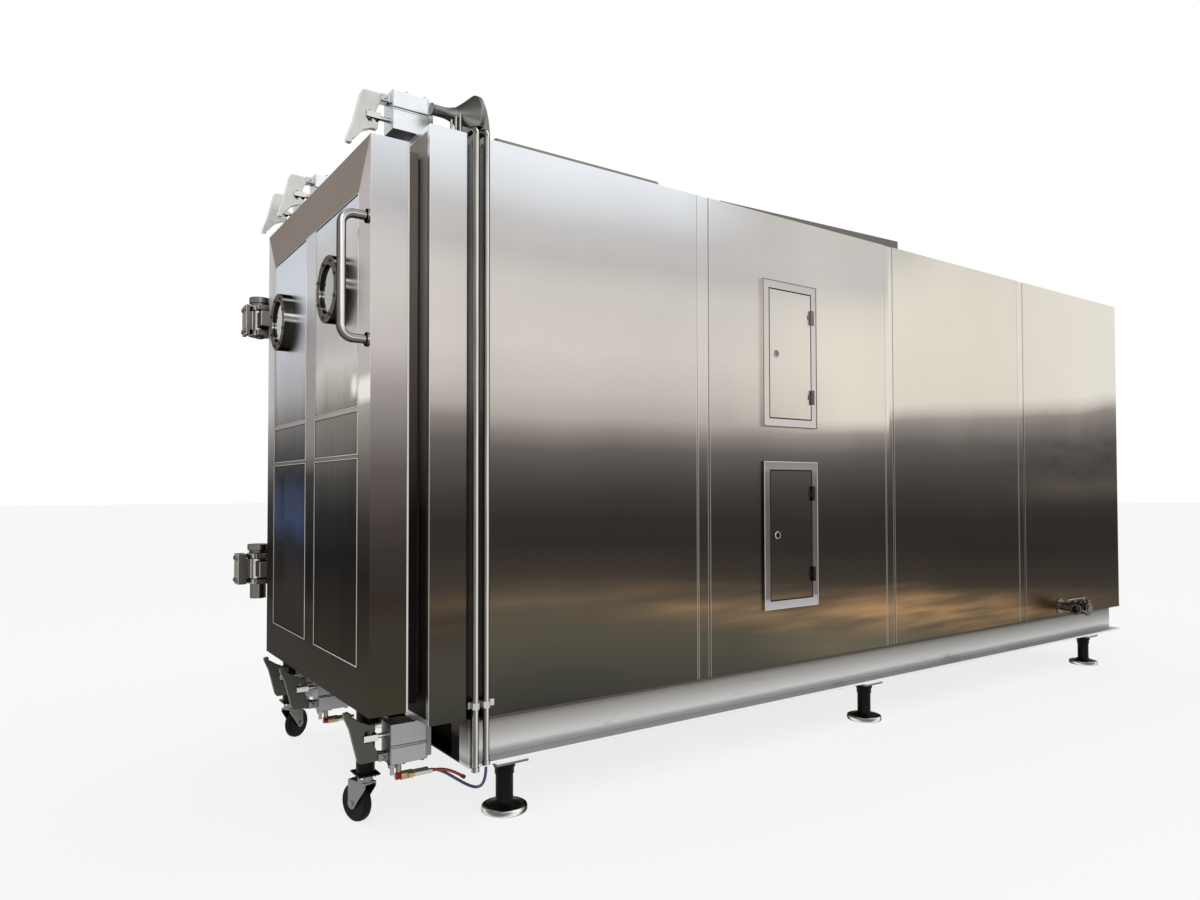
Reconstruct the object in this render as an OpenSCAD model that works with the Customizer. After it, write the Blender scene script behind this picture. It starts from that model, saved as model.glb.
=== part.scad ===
// Industrial vacuum freeze dryer: a long box chamber in sheet cladding on a levelled steel base.
// Millimetres, +Z up. The chamber runs along Y with its door at the low end of Y, and the
// access hatches are on the +X side. The origin is on the floor, under the middle of the machine.
// Inside this file the pieces are placed from the body's own datum: X from the middle of the
// body, Y from the front edge of the side panels and Z from the floor. place() moves them.

/* [Body] */
// Outside width over the side panels
body_w = 1670; // [1400:10:2000]
// Outside height of the panelled body
body_h = 2300; // [2000:10:2600]
// Length of the first side panel, next to the collar
first_panel_l = 1105; // [900:5:1400]
// Length of each other side panel
panel_l = 1365; // [1150:5:1650]
// Width of the strip over each panel joint
batten_w = 70; // [40:2:100]
// How far a strip lies behind the face of the panels
batten_recess = 2; // [1:0.5:4]
// Thickness of the cladding sheet
sheet_t = 2; // [1.5:0.5:4]
// Depth of the folded edges of a cladding panel
panel_depth = 30; // [20:1:45]
// Length of the front collar
collar_l = 157; // [120:1:200]
// Thickness of the collar's sheet
collar_t = 3; // [2:0.5:5]
// Length of the recessed channel between the collar and the first panel
channel_l = 96; // [70:1:130]
// Depth of the front lip round the sealing flange
collar_lip = 23; // [15:1:30]

/* [Vessel] */
// Space between the body's side and the chamber opening
side_space = 140; // [130:1:180]
// Space between the body's top or bottom and the chamber opening
end_space = 150; // [140:1:190]
// Space behind the chamber's rear wall
rear_space = 150; // [120:5:250]
// Thickness of the vessel wall
vessel_t = 10; // [6:1:16]
// Thickness of the machined sealing flange
flange_t = 40; // [25:1:50]
// Height of the stiffening ribs
rib_h = 45; // [30:1:50]
// Thickness of the stiffening ribs
rib_t = 10; // [6:1:16]
// Number of stiffening ribs
rib_count = 8; // [5:1:12]
// Outside radius of the vacuum nozzle's pipe
nozzle_r = 109.5; // [70:0.5:140]
// Wall of the vacuum nozzle's pipe
nozzle_wall = 6; // [4:0.5:10]
// Radius of the vacuum nozzle's flange
nozzle_flange_r = 170; // [140:1:200]
// Thickness of the vacuum nozzle's flange
nozzle_flange_t = 24; // [16:1:30]
// Radius of the vacuum nozzle's bolt circle
nozzle_pcr = 147.5; // [125:0.5:180]
// Radius of a bolt hole in the nozzle's flange
nozzle_hole_r = 11; // [7:0.5:13]
// Number of bolt holes in the nozzle's flange
nozzle_holes = 8; // [4:1:12]
// How far the nozzle's pipe reaches behind the body
nozzle_reach = 90; // [60:5:200]

/* [Shelves] */
// Number of heated shelves
shelf_count = 11; // [6:1:12]
// Height from one shelf to the next
shelf_pitch = 172; // [150:1:175]
// Thickness of a shelf
shelf_t = 22; // [16:1:30]
// Clearance between the lagging and the vessel's ribs
lagging_clear = 0.3; // [0.3:0.1:2]
// Space between a shelf's edge and the vessel wall
shelf_side_gap = 105; // [95:1:140]
// Height of the lowest shelf above the vessel floor
shelf_first = 75; // [60:1:120]
// Height of a tray's rim
tray_h = 38; // [25:1:50]
// Thickness of a tray's sheet
tray_t = 2; // [1:0.5:3]
// Number of trays on a shelf
tray_rows = 6; // [4:1:8]
// Radius of the condenser's pipe
coil_r = 14; // [10:1:20]
// Number of passes in a condenser coil
coil_passes = 12; // [6:2:14]

/* [Base] */
// Height of the base's beams
beam_h = 190; // [160:5:240]
// Width of the beams' flanges
beam_flange_w = 160; // [120:5:200]
// Thickness of the beams' flanges
beam_flange_t = 12; // [8:1:16]
// Thickness of the beams' webs
beam_web_t = 10; // [6:1:14]
// How far the beams reach ahead of the side panels
beam_front = 85; // [60:1:95]
// Number of cross members
cross_count = 5; // [3:1:7]
// Height of the beams' underside above the floor
foot_h = 225; // [180:5:280]
// Diameter of a foot's disc
foot_disc_d = 188; // [150:2:220]
// Diameter of a foot's column
foot_column_d = 72; // [50:2:90]
// Width of the square plate over each foot
foot_plate_w = 146; // [120:2:156]
// Distance from the side panels' front edge to the front feet
foot_front_y = 114; // [90:2:300]
// Distance from the side panels' front edge to the middle feet
foot_mid_y = 2425; // [2000:5:2800]
// Distance from the body's rear to the rear feet
foot_rear_y = 410; // [200:5:800]

/* [Door] */
// How far the door's sides lie inside the body's sides
door_side_inset = 53; // [45:1:65]
// How far the door's top lies below the body's top
door_top_inset = 70; // [50:1:90]
// How far the door's bottom lies above the body's bottom
door_bottom_inset = 52; // [45:1:80]
// Thickness of the door's clad box
door_t = 152; // [110:1:180]
// Space between the clad box and the collar
door_gap = 60; // [50:1:70]
// Thickness of the door's structural plate
door_plate_t = 45; // [30:1:48]
// Running clearance at the seals and the moving pieces
run_clear = 0.3; // [0.3:0.1:1]
// Gap at a seam between two pieces of one sub-part
seam_gap = 0.3; // [0.2:0.1:0.5]
// Clearance of a pin in its bore, on the radius
pin_clear = 0.3; // [0.3:0.1:0.8]
// Width of the door's side borders
border_side = 135; // [110:1:170]
// Height of the door's top border
border_top = 186; // [120:1:220]
// Height of the door's bottom border
border_bottom = 164; // [120:1:200]
// Width of the upright between the door's panels
mullion_w = 140; // [90:1:180]
// Height of the rails between the door's panels
rail_h = 12; // [8:1:30]
// Height of the middle panels
mid_panel_h = 172; // [120:1:240]
// Height from the door's bottom to the middle panels
mid_panel_z = 978; // [800:1:1100]
// Radius of a sight glass's ring
sight_r = 137.5; // [110:0.5:160]
// Radius of a sight glass's bore
sight_bore_r = 98; // [70:1:105]
// How far a sight glass stands out of the door
sight_reach = 50; // [30:1:70]
// Distance of a sight glass outwards from its panel's middle
sight_out = 41.5; // [0:0.5:60]
// Height of the sight glasses above the body's bottom
sight_z = 1710; // [1500:5:1800]
// Radius of the handle's tube
handle_r = 17; // [12:0.5:22]
// Distance between the handle's legs
handle_span = 465; // [300:5:600]
// Distance from the door's face to the handle's tube
handle_reach = 100; // [70:1:120]
// Height of the handle's middle above the body's bottom
handle_z = 1690; // [1300:5:1800]
// Distance from the door's side to the handle
handle_inset = 28; // [26:1:60]

/* [Hinges] */
// Distance from the body's side to the hinge axis
hinge_out = 80; // [72:1:110]
// Distance from the door's face forward to the hinge axis
hinge_ahead = 15; // [0:1:30]
// Radius of a hinge's ears
ear_r = 58; // [50:1:68]
// Thickness of a hinge's ears
ear_t = 26; // [16:1:32]
// Radius of a hinge's pin
hinge_pin_r = 20; // [14:1:28]
// Height of a hinge, over its ears
hinge_h = 160; // [130:2:200]
// Height of the lower hinge above the body's bottom
hinge_low_z = 477; // [350:1:700]
// Height of the upper hinge above the body's bottom
hinge_high_z = 1800; // [1500:1:1950]

/* [Casters] */
// Radius of a caster's wheel
wheel_r = 75; // [60:1:90]
// Width of a caster's wheel
wheel_w = 38; // [30:1:46]
// Height of a caster over its top plate
caster_h = 203; // [190:1:215]
// Distance from the swivel's axis back to the wheel
caster_trail = 52; // [40:1:60]
// Radius of the post that carries a caster
caster_post_r = 36; // [30:1:38]
// Distance from the door's right side to the near caster
caster_near_inset = 217; // [180:1:260]
// Distance from the door's face to the near caster
caster_near_set = 65; // [45:1:100]
// Distance from the door's left side to the far caster
caster_far_inset = 42; // [38:1:60]
// Distance from the door's face to the far caster
caster_far_set = 110; // [60:1:112]
// Heading of the near caster's wheel from its swivel
caster_near_turn = -161; // [-180:1:180]
// Heading of the far caster's wheel from its swivel
caster_far_turn = 127; // [-180:1:180]

/* [Door clamps] */
// Distance from the body's side to the near clamps, and to the lower far one
clamp_inset = 200; // [190:1:240]
// Place of the lower middle clamp from the body's middle
clamp_low_mid_x = -315; // [-400:1:-150]
// Place of the upper middle clamp from the body's middle
clamp_high_mid_x = -420; // [-480:1:-250]
// Distance from the body's left side to the upper far clamp
clamp_high_far_inset = 95; // [85:1:160]
// Width of a clamp's cylinder block
block_w = 100; // [80:1:110]
// Length of a clamp's cylinder block
block_l = 151; // [130:1:160]
// Height of a clamp's cylinder block
block_h = 156; // [130:1:170]
// Distance from the collar to the block, taken by its seat
block_seat = 12; // [8:1:20]
// How far a block reaches ahead of the collar
block_ahead = 91; // [85:1:95]
// Distance from the collar's face forward to the lever's pivot
pivot_ahead = 112; // [109:0.5:115]
// Distance from the collar out to the lever's pivot
pivot_out = 140; // [125:1:150]
// Thickness of a clamp's lever
lever_t = 26; // [20:1:30]
// Radius of a clamp's piston rod
rod_r = 9; // [7:0.5:12]
// Radius of a lever's pivot pin
pivot_r = 8; // [6:0.5:10]
// Distance of the rod from the pivot, towards the collar
rod_drop = 80; // [70:1:90]
// Distance from the pivot forward to the rod's pin
rod_pin_ahead = 60; // [50:1:66]
// Gap between a released clamp's nose and the door's edge
release_gap = 2.5; // [1.5:0.5:6]

/* [Services] */
// Radius of the riser pipes
riser_r = 13; // [9:0.5:15]
// Distance from the body's side out to the risers
riser_out = 16; // [15.5:0.5:20]
// Distance from the channel's front to the first riser
riser_first = 31; // [24:1:36]
// Distance between the risers
riser_step = 46; // [38:1:52]
// Height of the manifold block above the roof
manifold_h = 45; // [40:1:60]
// Radius of the horn on the manifold, at its wide end
horn_r = 95; // [70:1:96]
// Distance from the second panel's front edge to the hatches
hatch_set = 360; // [200:5:600]
// Width over a hatch's frame
hatch_w = 400; // [320:2:480]
// Height over a hatch's frame
hatch_h = 750; // [600:5:820]
// Width of a hatch frame's border
hatch_border = 44; // [30:1:60]
// Height of the lower hatch above the body's bottom
hatch_low_z = 285; // [150:5:350]
// Distance between the two hatches
hatch_gap = 177; // [100:1:240]
// How far a hatch frame stands out of the panel
hatch_proud = 12; // [6:1:16]
// Thickness of a hatch's door
hatch_door_t = 14; // [10:1:16]
// Gap round a hatch's door
hatch_door_gap = 3; // [2:0.5:5]
// Place of the drain valve along the body
drain_y = 4500; // [4450:5:4600]
// Height of the drain valve above the body's bottom
drain_z = 65; // [60:1:80]
// Radius of the drain's pipe
drain_r = 28; // [20:1:32]
// How far the drain valve reaches out of the body
drain_reach = 204; // [190:1:260]

/* [Hidden] */
$fn = 64;
// Small overlap that a cut needs to pass through a face
cut = 1;

// Body
base_z = foot_h + beam_h;
roof_z = base_z + body_h;
half_w = body_w / 2;
panel_starts = [0, for (i = [0:2]) first_panel_l + batten_w + i * (panel_l + batten_w)];
panel_lengths = [first_panel_l, panel_l, panel_l, panel_l];
body_l = panel_starts[3] + panel_l;
channel_front = -channel_l;
collar_front = channel_front - collar_l;
inner_half_w = half_w - panel_depth;

// Vessel
opening_w = body_w - 2 * side_space;
opening_h = body_h - 2 * end_space;
opening_z = base_z + end_space;
middle_z = base_z + body_h / 2;
flange_rear = collar_front + flange_t;
vessel_end = body_l - rear_space;
vessel_half_w = opening_w / 2 + vessel_t;
rib_first = 300;
rib_step = (vessel_end - 2 * rib_first + 100) / (rib_count - 1);
nozzle_z = middle_z + 250;
saddle_l = 60;
saddle_w = 65;

// Shelves
shelf_w = opening_w - 2 * shelf_side_gap;
shelf_front = channel_front - 4;
shelf_l = vessel_end - 500 - shelf_front;
upright_t = 20;
upright_w = 40;
upright_count = 5;
upright_x = shelf_w / 2 + 2;
upright_top = opening_z + opening_h - 60;
tray_w = shelf_w - 20;
tray_step = (shelf_l - 10) / tray_rows;
tray_l = tray_step - 15;
header_r = 24;
header_x = 300;
coil_x = opening_w / 2 - 40;
coil_pitch = 150;
coil_front = 150;
coil_back = vessel_end - 650;
coil_first = opening_z + 110;

// Feet and beams
web_x = half_w - beam_flange_w / 2;
foot_places = [foot_front_y, foot_mid_y, body_l - foot_rear_y];
foot_plate_t = 20;
beam_end = body_l + 5;
disc_h = 26;
cone_h = 17;

// Door
door_w = body_w - 2 * door_side_inset;
door_low = base_z + door_bottom_inset;
door_high = roof_z - door_top_inset;
door_h = door_high - door_low;
door_rear = collar_front - door_gap;
door_front = door_rear - door_t;
door_sheet = 3;
plate_inset = 25;
plate_rear = door_rear + door_plate_t;
gasket_w = 26;
gasket_margin = 16;
liner_clear = 12;
liner_reach = 20;
infill_lap = 12;
field_w = (door_w - 2 * border_side - mullion_w) / 2;
field_x = mullion_w / 2 + field_w / 2;
sight_x = field_x + sight_out;
low_field_h = mid_panel_z - rail_h - border_bottom;
high_field_z = mid_panel_z + mid_panel_h + rail_h;
high_field_h = door_h - border_top - high_field_z;
fields = [
    for (side = [-1, 1], row = [[border_bottom, low_field_h],
                                [mid_panel_z, mid_panel_h],
                                [high_field_z, high_field_h]])
        [side * field_x, door_low + row[0], row[1]]
];
sight_seat_r = sight_bore_r + 8;
sight_tube_r = sight_seat_r + 4;
sight_hole_r = sight_tube_r + run_clear;
sight_pane_t = 19;
sight_cover_t = 12;
sight_centre_z = base_z + sight_z;
handle_x = door_w / 2 - handle_inset;
handle_bend = 45;

// Hinges
hinge_x = -(half_w + hinge_out);
hinge_y = door_front - hinge_ahead;
hinge_heights = [base_z + hinge_low_z, base_z + hinge_high_z];
barrel_h = hinge_h - 2 * ear_t - 2 * 1;
barrel_r = ear_r - 6;
bracket_t = 30;
bracket_front = 75;
arm_plate_t = 20;
arm_reach = hinge_out + door_side_inset;
cap_r = 54;
cap_h = 32;
neck_h = 16;
stub_h = 80;
// Reach ahead of the axis and thickness of the front plates, the lower one first
front_plates = [[ear_r + 53, 43], [ear_r + 22, 20]];

// Casters
caster_near = [door_w / 2 - caster_near_inset, door_front + caster_near_set];
caster_far = [-door_w / 2 + caster_far_inset, door_front + caster_far_set];
caster_plate_t = 6;
kingpin_r = 8;
race_r = 30;
fork_t = 4;
fork_half = wheel_w / 2 + 5;
bridge_z = 2 * wheel_r + 10;
bridge_t = 8;
axle_r = 6;
hub_r = 46;

// Clamps
low_clamps = [half_w - clamp_inset, clamp_low_mid_x, -(half_w - clamp_inset)];
high_clamps = [half_w - clamp_inset, clamp_high_mid_x, -(half_w - clamp_high_far_inset)];
block_front = collar_front - block_ahead;
block_rear = block_front + block_l;
pivot_y = collar_front - pivot_ahead;
nose_t = 22;
// Height of the pad on the lever's nose
pad_h = 17;
fork_w = 42;
slot_r = 8.5;
rod_end_r = 6;
closed_lap = 12;
// How far ahead of the pivot the nose lies when the clamp is closed on the door's face
closed_ahead = pivot_y - door_front + run_clear;
// How far the nose hangs from the pivot when the clamp is closed
function closed_drop(inset) = pivot_out + inset + closed_lap;
// How far the nose hangs from the pivot when the clamp is released
function nose_drop(inset) = pivot_out + inset - release_gap;
// How far the lever turns up from closed to released
function release_turn(inset) =
    acos(nose_drop(inset) / norm([closed_ahead, closed_drop(inset)]))
    - atan2(closed_ahead, closed_drop(inset));

// Services
riser_x = half_w + riser_out;
riser_places = [channel_front + riser_first, channel_front + riser_first + riser_step];
riser_low = base_z - beam_h - 10;
riser_bend = 36;
riser_top = roof_z + 26;
manifold_x = half_w - 45;
manifold_w = 90;
channel_top = roof_z - panel_depth;
hatch_y = panel_starts[1] + hatch_set;
hatch_heights = [base_z + hatch_low_z, base_z + hatch_low_z + hatch_h + hatch_gap];
hatch_x = half_w + hatch_proud;
tub_wall = 2;
tub_depth = 70;
hatch_axis_x = hatch_x + 7.5;
hatch_axis_y = hatch_y + hatch_w - hatch_border - 1;
knuckle_r = 7;
knuckle_pin_r = 3;
knuckle_l = 75;
knuckle_z = 211;
leaf_t = 3;
leaf_w = 24;
lock_set = 50;
lock_r = 11;
cam_l = 48;
cam_w = 12;
cam_t = 3.5;
keeper_t = 7;
keeper_w = 15;
drain_mid = [half_w, drain_y, base_z + drain_z];
drain_body_l = 70;
clamp_ring_l = 24;
drain_body_x = half_w + drain_reach - clamp_ring_l - drain_body_l;
lever_hub_z = base_z + drain_z + 66;

// Extent of the machine, for its middle
left_reach = -hinge_x + ear_r;
right_reach = half_w + drain_reach;
front_reach = -hinge_y + front_plates[0][0];
rear_reach = body_l + nozzle_reach + nozzle_flange_t;
mid_x = (right_reach - left_reach) / 2;
mid_y = (rear_reach - front_reach) / 2;

// Hose routes, from the body's datum
hose_r = 6;
fitting_z = 192;
blue_start = [657, -180, 192];
blue_points = [
    [657, -180, 192], [657, -164, 192], [659, -143, 188], [667, -119, 178], [680, -98, 165],
    [695, -80, 152], [712, -64, 141], [730, -51, 133], [750, -40, 128], [770, -31, 127],
    [790, -25, 131], [808, -21, 140], [824, -19, 154], [837, -19, 172], [846, -19, 191],
    [850, -19, 208], [851, -19, 225]
];
red_start = [681, -172, 196];
red_points = [
    [681, -172, 196], [681, -157, 196], [683, -139, 195], [687, -120, 191], [691, -102, 185],
    [695, -85, 177], [699, -69, 168], [703, -54, 158]
];
plug_r = 8;
plug_l = 18;

module place() {
    translate([-mid_x, -mid_y, 0]) children();
}

// A box from its low corner to its high corner
module block(low, high) {
    translate(low) cube(high - low);
}

module rod_x(r, x0, x1, y, z) {
    translate([x0, y, z]) rotate([0, 90, 0]) cylinder(r = r, h = x1 - x0);
}

module rod_y(r, x, y0, y1, z) {
    translate([x, y0, z]) rotate([-90, 0, 0]) cylinder(r = r, h = y1 - y0);
}

module rod_z(r, x, y, z0, z1) {
    translate([x, y, z0]) cylinder(r = r, h = z1 - z0);
}

// A rectangular ring that faces Y, round the vessel's axis
module ring_y(outer_w, outer_h, inner_w, inner_h, y0, y1) {
    difference() {
        block([-outer_w / 2, y0, middle_z - outer_h / 2], [outer_w / 2, y1, middle_z + outer_h / 2]);
        block([-inner_w / 2, y0 - cut, middle_z - inner_h / 2],
              [inner_w / 2, y1 + cut, middle_z + inner_h / 2]);
    }
}

// A closed tube swept along points, as a many-sided prism with flat ends
module hose(points, r, sides) {
    last = len(points) - 1;
    function along(i) = points[min(i + 1, last)] - points[max(i - 1, 0)];
    function unit(v) = v / norm(v);
    function side_dir(i) = unit(cross(along(i), [0.31, -0.17, 0.94]));
    function up_dir(i) = unit(cross(side_dir(i), along(i)));
    rings = [
        for (i = [0:last], k = [0:sides - 1])
            points[i] + r * (cos(360 * k / sides) * side_dir(i) + sin(360 * k / sides) * up_dir(i))
    ];
    walls = [
        for (i = [0:last - 1], k = [0:sides - 1])
            [i * sides + k, i * sides + (k + 1) % sides,
             (i + 1) * sides + (k + 1) % sides, (i + 1) * sides + k]
    ];
    front = [for (k = [sides - 1:-1:0]) k];
    back = [for (k = [0:sides - 1]) last * sides + k];
    polyhedron(points = rings, faces = concat(walls, [front], [back]), convexity = 6);
}

// ---- Base ----

module i_beam_y(x, y0, y1) {
    half = beam_flange_w / 2;
    block([x - half, y0, foot_h], [x + half, y1, foot_h + beam_flange_t]);
    block([x - half, y0, base_z - beam_flange_t], [x + half, y1, base_z]);
    block([x - beam_web_t / 2, y0, foot_h], [x + beam_web_t / 2, y1, base_z]);
}

module i_beam_x(y) {
    half = beam_flange_w / 2;
    block([-web_x, y - half, foot_h], [web_x, y + half, foot_h + beam_flange_t]);
    block([-web_x, y - half, base_z - beam_flange_t], [web_x, y + half, base_z]);
    block([-web_x, y - beam_web_t / 2, foot_h], [web_x, y + beam_web_t / 2, base_z]);
}

module foot_plate(x, y) {
    half = foot_plate_w / 2;
    block([x - half, y - half, foot_h - foot_plate_t], [x + half, y + half, foot_h]);
}

module base_frame() {
    end_t = 28;
    cross_first = -beam_front + beam_flange_w / 2;
    cross_step = (beam_end - beam_flange_w / 2 - cross_first) / (cross_count - 1);
    color("silver") place() {
        union() {
            for (side = [-1, 1]) {
                i_beam_y(side * web_x, -beam_front, beam_end);
                block([side * web_x - beam_flange_w / 2, -beam_front, foot_h],
                      [side * web_x + beam_flange_w / 2, -beam_front + end_t, base_z]);
                for (y = foot_places) foot_plate(side * web_x, y);
            }
            for (i = [0:cross_count - 1])
                i_beam_x(cross_first + i * cross_step);
        }
    }
}

module foot() {
    rod_z(foot_disc_d / 2, 0, 0, 0, disc_h);
    translate([0, 0, disc_h])
        cylinder(r1 = foot_disc_d / 2 - 6, r2 = foot_column_d / 2, h = cone_h);
    rod_z(foot_column_d / 2, 0, 0, disc_h, foot_h - foot_plate_t);
    rod_z(foot_column_d / 2 + 9, 0, 0, foot_h - foot_plate_t - 25, foot_h - foot_plate_t);
}

module levelling_feet() {
    color("dimgray") place() {
        for (side = [-1, 1], y = foot_places)
            translate([side * web_x, y, 0]) foot();
    }
}

// ---- Vessel ----

function rib_y(i) = rib_first + i * rib_step;

module saddle(side, y) {
    rib_low = opening_z - vessel_t - rib_h;
    x0 = side > 0 ? web_x - beam_flange_w / 2 + 5 : -web_x + beam_flange_w / 2 - 5 - saddle_w;
    block([x0, y - saddle_l / 2, base_z], [x0 + saddle_w, y + saddle_l / 2, rib_low + 5]);
}

module nozzle_holes() {
    for (i = [0:nozzle_holes - 1])
        rotate([0, (i + 0.5) * 360 / nozzle_holes, 0])
            rod_y(nozzle_hole_r, nozzle_pcr, body_l + nozzle_reach - cut,
                  rear_reach + cut, 0);
}

module chamber_shell() {
    outer_w = opening_w + 2 * vessel_t;
    outer_h = opening_h + 2 * vessel_t;
    color("gainsboro") place() {
        difference() {
            union() {
                ring_y(outer_w, outer_h, opening_w, opening_h, flange_rear, vessel_end);
                block([-outer_w / 2, vessel_end, middle_z - outer_h / 2],
                      [outer_w / 2, vessel_end + vessel_t, middle_z + outer_h / 2]);
                rod_y(nozzle_r, 0, vessel_end, body_l + nozzle_reach, nozzle_z);
                rod_y(nozzle_flange_r, 0, body_l + nozzle_reach, rear_reach, nozzle_z);
            }
            rod_y(nozzle_r - nozzle_wall, 0, vessel_end - cut, rear_reach + cut, nozzle_z);
            translate([0, 0, nozzle_z]) nozzle_holes();
            rod_z(drain_r - 3, drain_riser_x(), drain_y, opening_z - 2 * vessel_t, opening_z + cut);
        }
    }
}

module shell_ribs() {
    outer_w = opening_w + 2 * vessel_t;
    outer_h = opening_h + 2 * vessel_t;
    color("gainsboro") place()
        for (i = [0:rib_count - 1]) union() {
            ring_y(outer_w + 2 * rib_h, outer_h + 2 * rib_h, outer_w, outer_h,
                   rib_y(i) - rib_t / 2, rib_y(i) + rib_t / 2);
            for (side = [-1, 1]) saddle(side, rib_y(i));
        }
}

function drain_riser_x() = web_x - beam_flange_w / 2 - 50;

// A block through a hatch, this far inside the outline of its frame
module hatch_cut(x0, x1, z, margin) {
    block([x0, hatch_y + margin, z + margin],
          [x1, hatch_y + hatch_w - margin, z + hatch_h - margin]);
}

module insulation() {
    inner_half = vessel_half_w + rib_h + lagging_clear;
    outer_half = inner_half_w - 5;
    low = opening_z - vessel_t - rib_h + 12;
    high = channel_top - 5;
    inner_high = opening_z + opening_h + vessel_t + rib_h + lagging_clear;
    slab_half = drain_riser_x() - drain_r - 10;
    back = vessel_end + vessel_t + 2;
    color("khaki") place() {
        difference() {
            block([-outer_half, 5, low], [outer_half, body_l - panel_depth - 5, high]);
            block([-inner_half, 5 - cut, low - cut], [inner_half, back, inner_high]);
            rod_y(nozzle_r + 2, 0, back - cut, body_l, nozzle_z);
            for (z = hatch_heights)
                hatch_cut(half_w - tub_depth - 5, half_w, z, hatch_border - 10);
        }
        block([-slab_half, 80, base_z + 10],
              [slab_half, vessel_end, opening_z - vessel_t - rib_h - lagging_clear]);
    }
}

module front_flange() {
    lip_w = body_w - 2 * collar_lip;
    lip_h = body_h - 2 * collar_lip;
    color("gainsboro") place()
        ring_y(lip_w, lip_h, opening_w, opening_h, collar_front, flange_rear);
}

module collar_sheet() {
    inner_w = body_w - 2 * panel_depth;
    inner_h = body_h - 2 * panel_depth;
    union() {
        ring_y(body_w, body_h, body_w - 2 * collar_t, body_h - 2 * collar_t,
               collar_front, channel_front);
        ring_y(body_w, body_h, body_w - 2 * collar_lip, body_h - 2 * collar_lip,
               collar_front, collar_front + collar_t);
        ring_y(body_w, body_h, inner_w - 2 * collar_t, inner_h - 2 * collar_t,
               channel_front - collar_t, channel_front);
        ring_y(inner_w, inner_h, inner_w - 2 * collar_t, inner_h - 2 * collar_t,
               channel_front - collar_t, 0);
    }
}

// A prism round one side of the collar, mitred at both ends. The sides are right, low, left and high.
module collar_side(side) {
    upright = side % 2 == 0;
    reach = (upright ? body_w : body_h) / 2 + cut;
    half = (upright ? body_h : body_w) / 2 + cut - (upright ? seam_gap : 0);
    depth = panel_depth + collar_lip;
    translate([0, collar_front - cut, middle_z]) rotate([-90, side * 90, 0])
        linear_extrude(-collar_front + 2 * cut)
            polygon([[reach, -half], [reach, half], [reach - depth, half - depth],
                     [reach - depth, depth - half]]);
}

// Four folded sheets that meet at mitred seams
module collar_skin() {
    color("silver") place()
        for (side = [0:3])
            intersection() {
                collar_sheet();
                collar_side(side);
            }
}

module pan_x(x, y0, y1, z0, z1) {
    difference() {
        block([x - panel_depth, y0, z0], [x, y1, z1]);
        block([x - panel_depth - cut, y0 + sheet_t, z0 + sheet_t],
              [x - sheet_t, y1 - sheet_t, z1 - sheet_t]);
    }
}

module side_pan(i) {
    pan_x(half_w, panel_starts[i], panel_starts[i] + panel_lengths[i], base_z, roof_z);
}

module side_panels_right() {
    color("silver") place() {
        difference() {
            union() for (i = [0:3]) side_pan(i);
            for (z = hatch_heights)
                hatch_cut(half_w - panel_depth - cut, half_w + cut, z, hatch_border - 6);
            rod_x(drain_r + 2, half_w - panel_depth - cut, half_w + cut, drain_y, drain_mid[2]);
        }
    }
}

module side_panels_left() {
    color("silver") place()
        mirror([1, 0, 0]) for (i = [0:3]) side_pan(i);
}

module roof_panels() {
    half = inner_half_w - 0.5;
    color("silver") place() {
        for (i = [0:3])
            difference() {
                block([-half, panel_starts[i], channel_top],
                      [half, panel_starts[i] + panel_lengths[i], roof_z]);
                block([-half + sheet_t, panel_starts[i] + sheet_t, channel_top - cut],
                      [half - sheet_t, panel_starts[i] + panel_lengths[i] - sheet_t, roof_z - sheet_t]);
            }
    }
}

module rear_panel() {
    half = inner_half_w - 0.5;
    color("silver") place() {
        difference() {
            block([-half, body_l - panel_depth, base_z], [half, body_l, channel_top - 0.5]);
            block([-half + sheet_t, body_l - panel_depth - cut, base_z + sheet_t],
                  [half - sheet_t, body_l - sheet_t, channel_top - 0.5 - sheet_t]);
            rod_y(nozzle_r + 3, 0, body_l - panel_depth - cut, body_l + cut, nozzle_z);
        }
    }
}

module panel_battens() {
    gap = 0.5;
    strip_t = 3;
    color("gainsboro") place() {
        for (i = [0:2]) {
            y0 = panel_starts[i] + panel_lengths[i] + gap;
            y1 = panel_starts[i + 1] - gap;
            for (side = [0, 1])
                mirror([side, 0, 0])
                    block([half_w - batten_recess - strip_t, y0, base_z],
                          [half_w - batten_recess, y1, roof_z - batten_recess]);
            block([-half_w + batten_recess + strip_t + gap, y0, roof_z - batten_recess - strip_t],
                  [half_w - batten_recess - strip_t - gap, y1, roof_z - batten_recess]);
        }
    }
}

// ---- Inside ----

function shelf_z(i) = opening_z + shelf_first + i * shelf_pitch;
function upright_y(i) = shelf_front + 60 + i * (shelf_l - 120 - upright_w) / (upright_count - 1);

module shelf_header(side) {
    back = shelf_front + shelf_l;
    rod_z(header_r, side * header_x, back + 70, shelf_z(0) - 20, shelf_z(shelf_count - 1) + 60);
    for (i = [0:shelf_count - 1])
        rod_y(8, side * header_x, back, back + 70, shelf_z(i) + shelf_t / 2);
}

module shelf_rack() {
    ledge_t = 10;
    ledge_w = 30;
    color("gainsboro") place() {
        union() {
            for (i = [0:upright_count - 1]) {
                y = upright_y(i);
                for (side = [0, 1])
                    mirror([side, 0, 0]) {
                        block([upright_x, y, opening_z],
                              [upright_x + upright_t, y + upright_w, upright_top]);
                        for (k = [0:shelf_count - 1])
                            block([upright_x - ledge_w, y, shelf_z(k) - ledge_t],
                                  [upright_x + cut, y + upright_w, shelf_z(k)]);
                    }
                block([-upright_x - upright_t, y, upright_top - 40],
                      [upright_x + upright_t, y + upright_w, upright_top]);
            }
        }
        for (side = [-1, 1]) shelf_header(side);
    }
}

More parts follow.
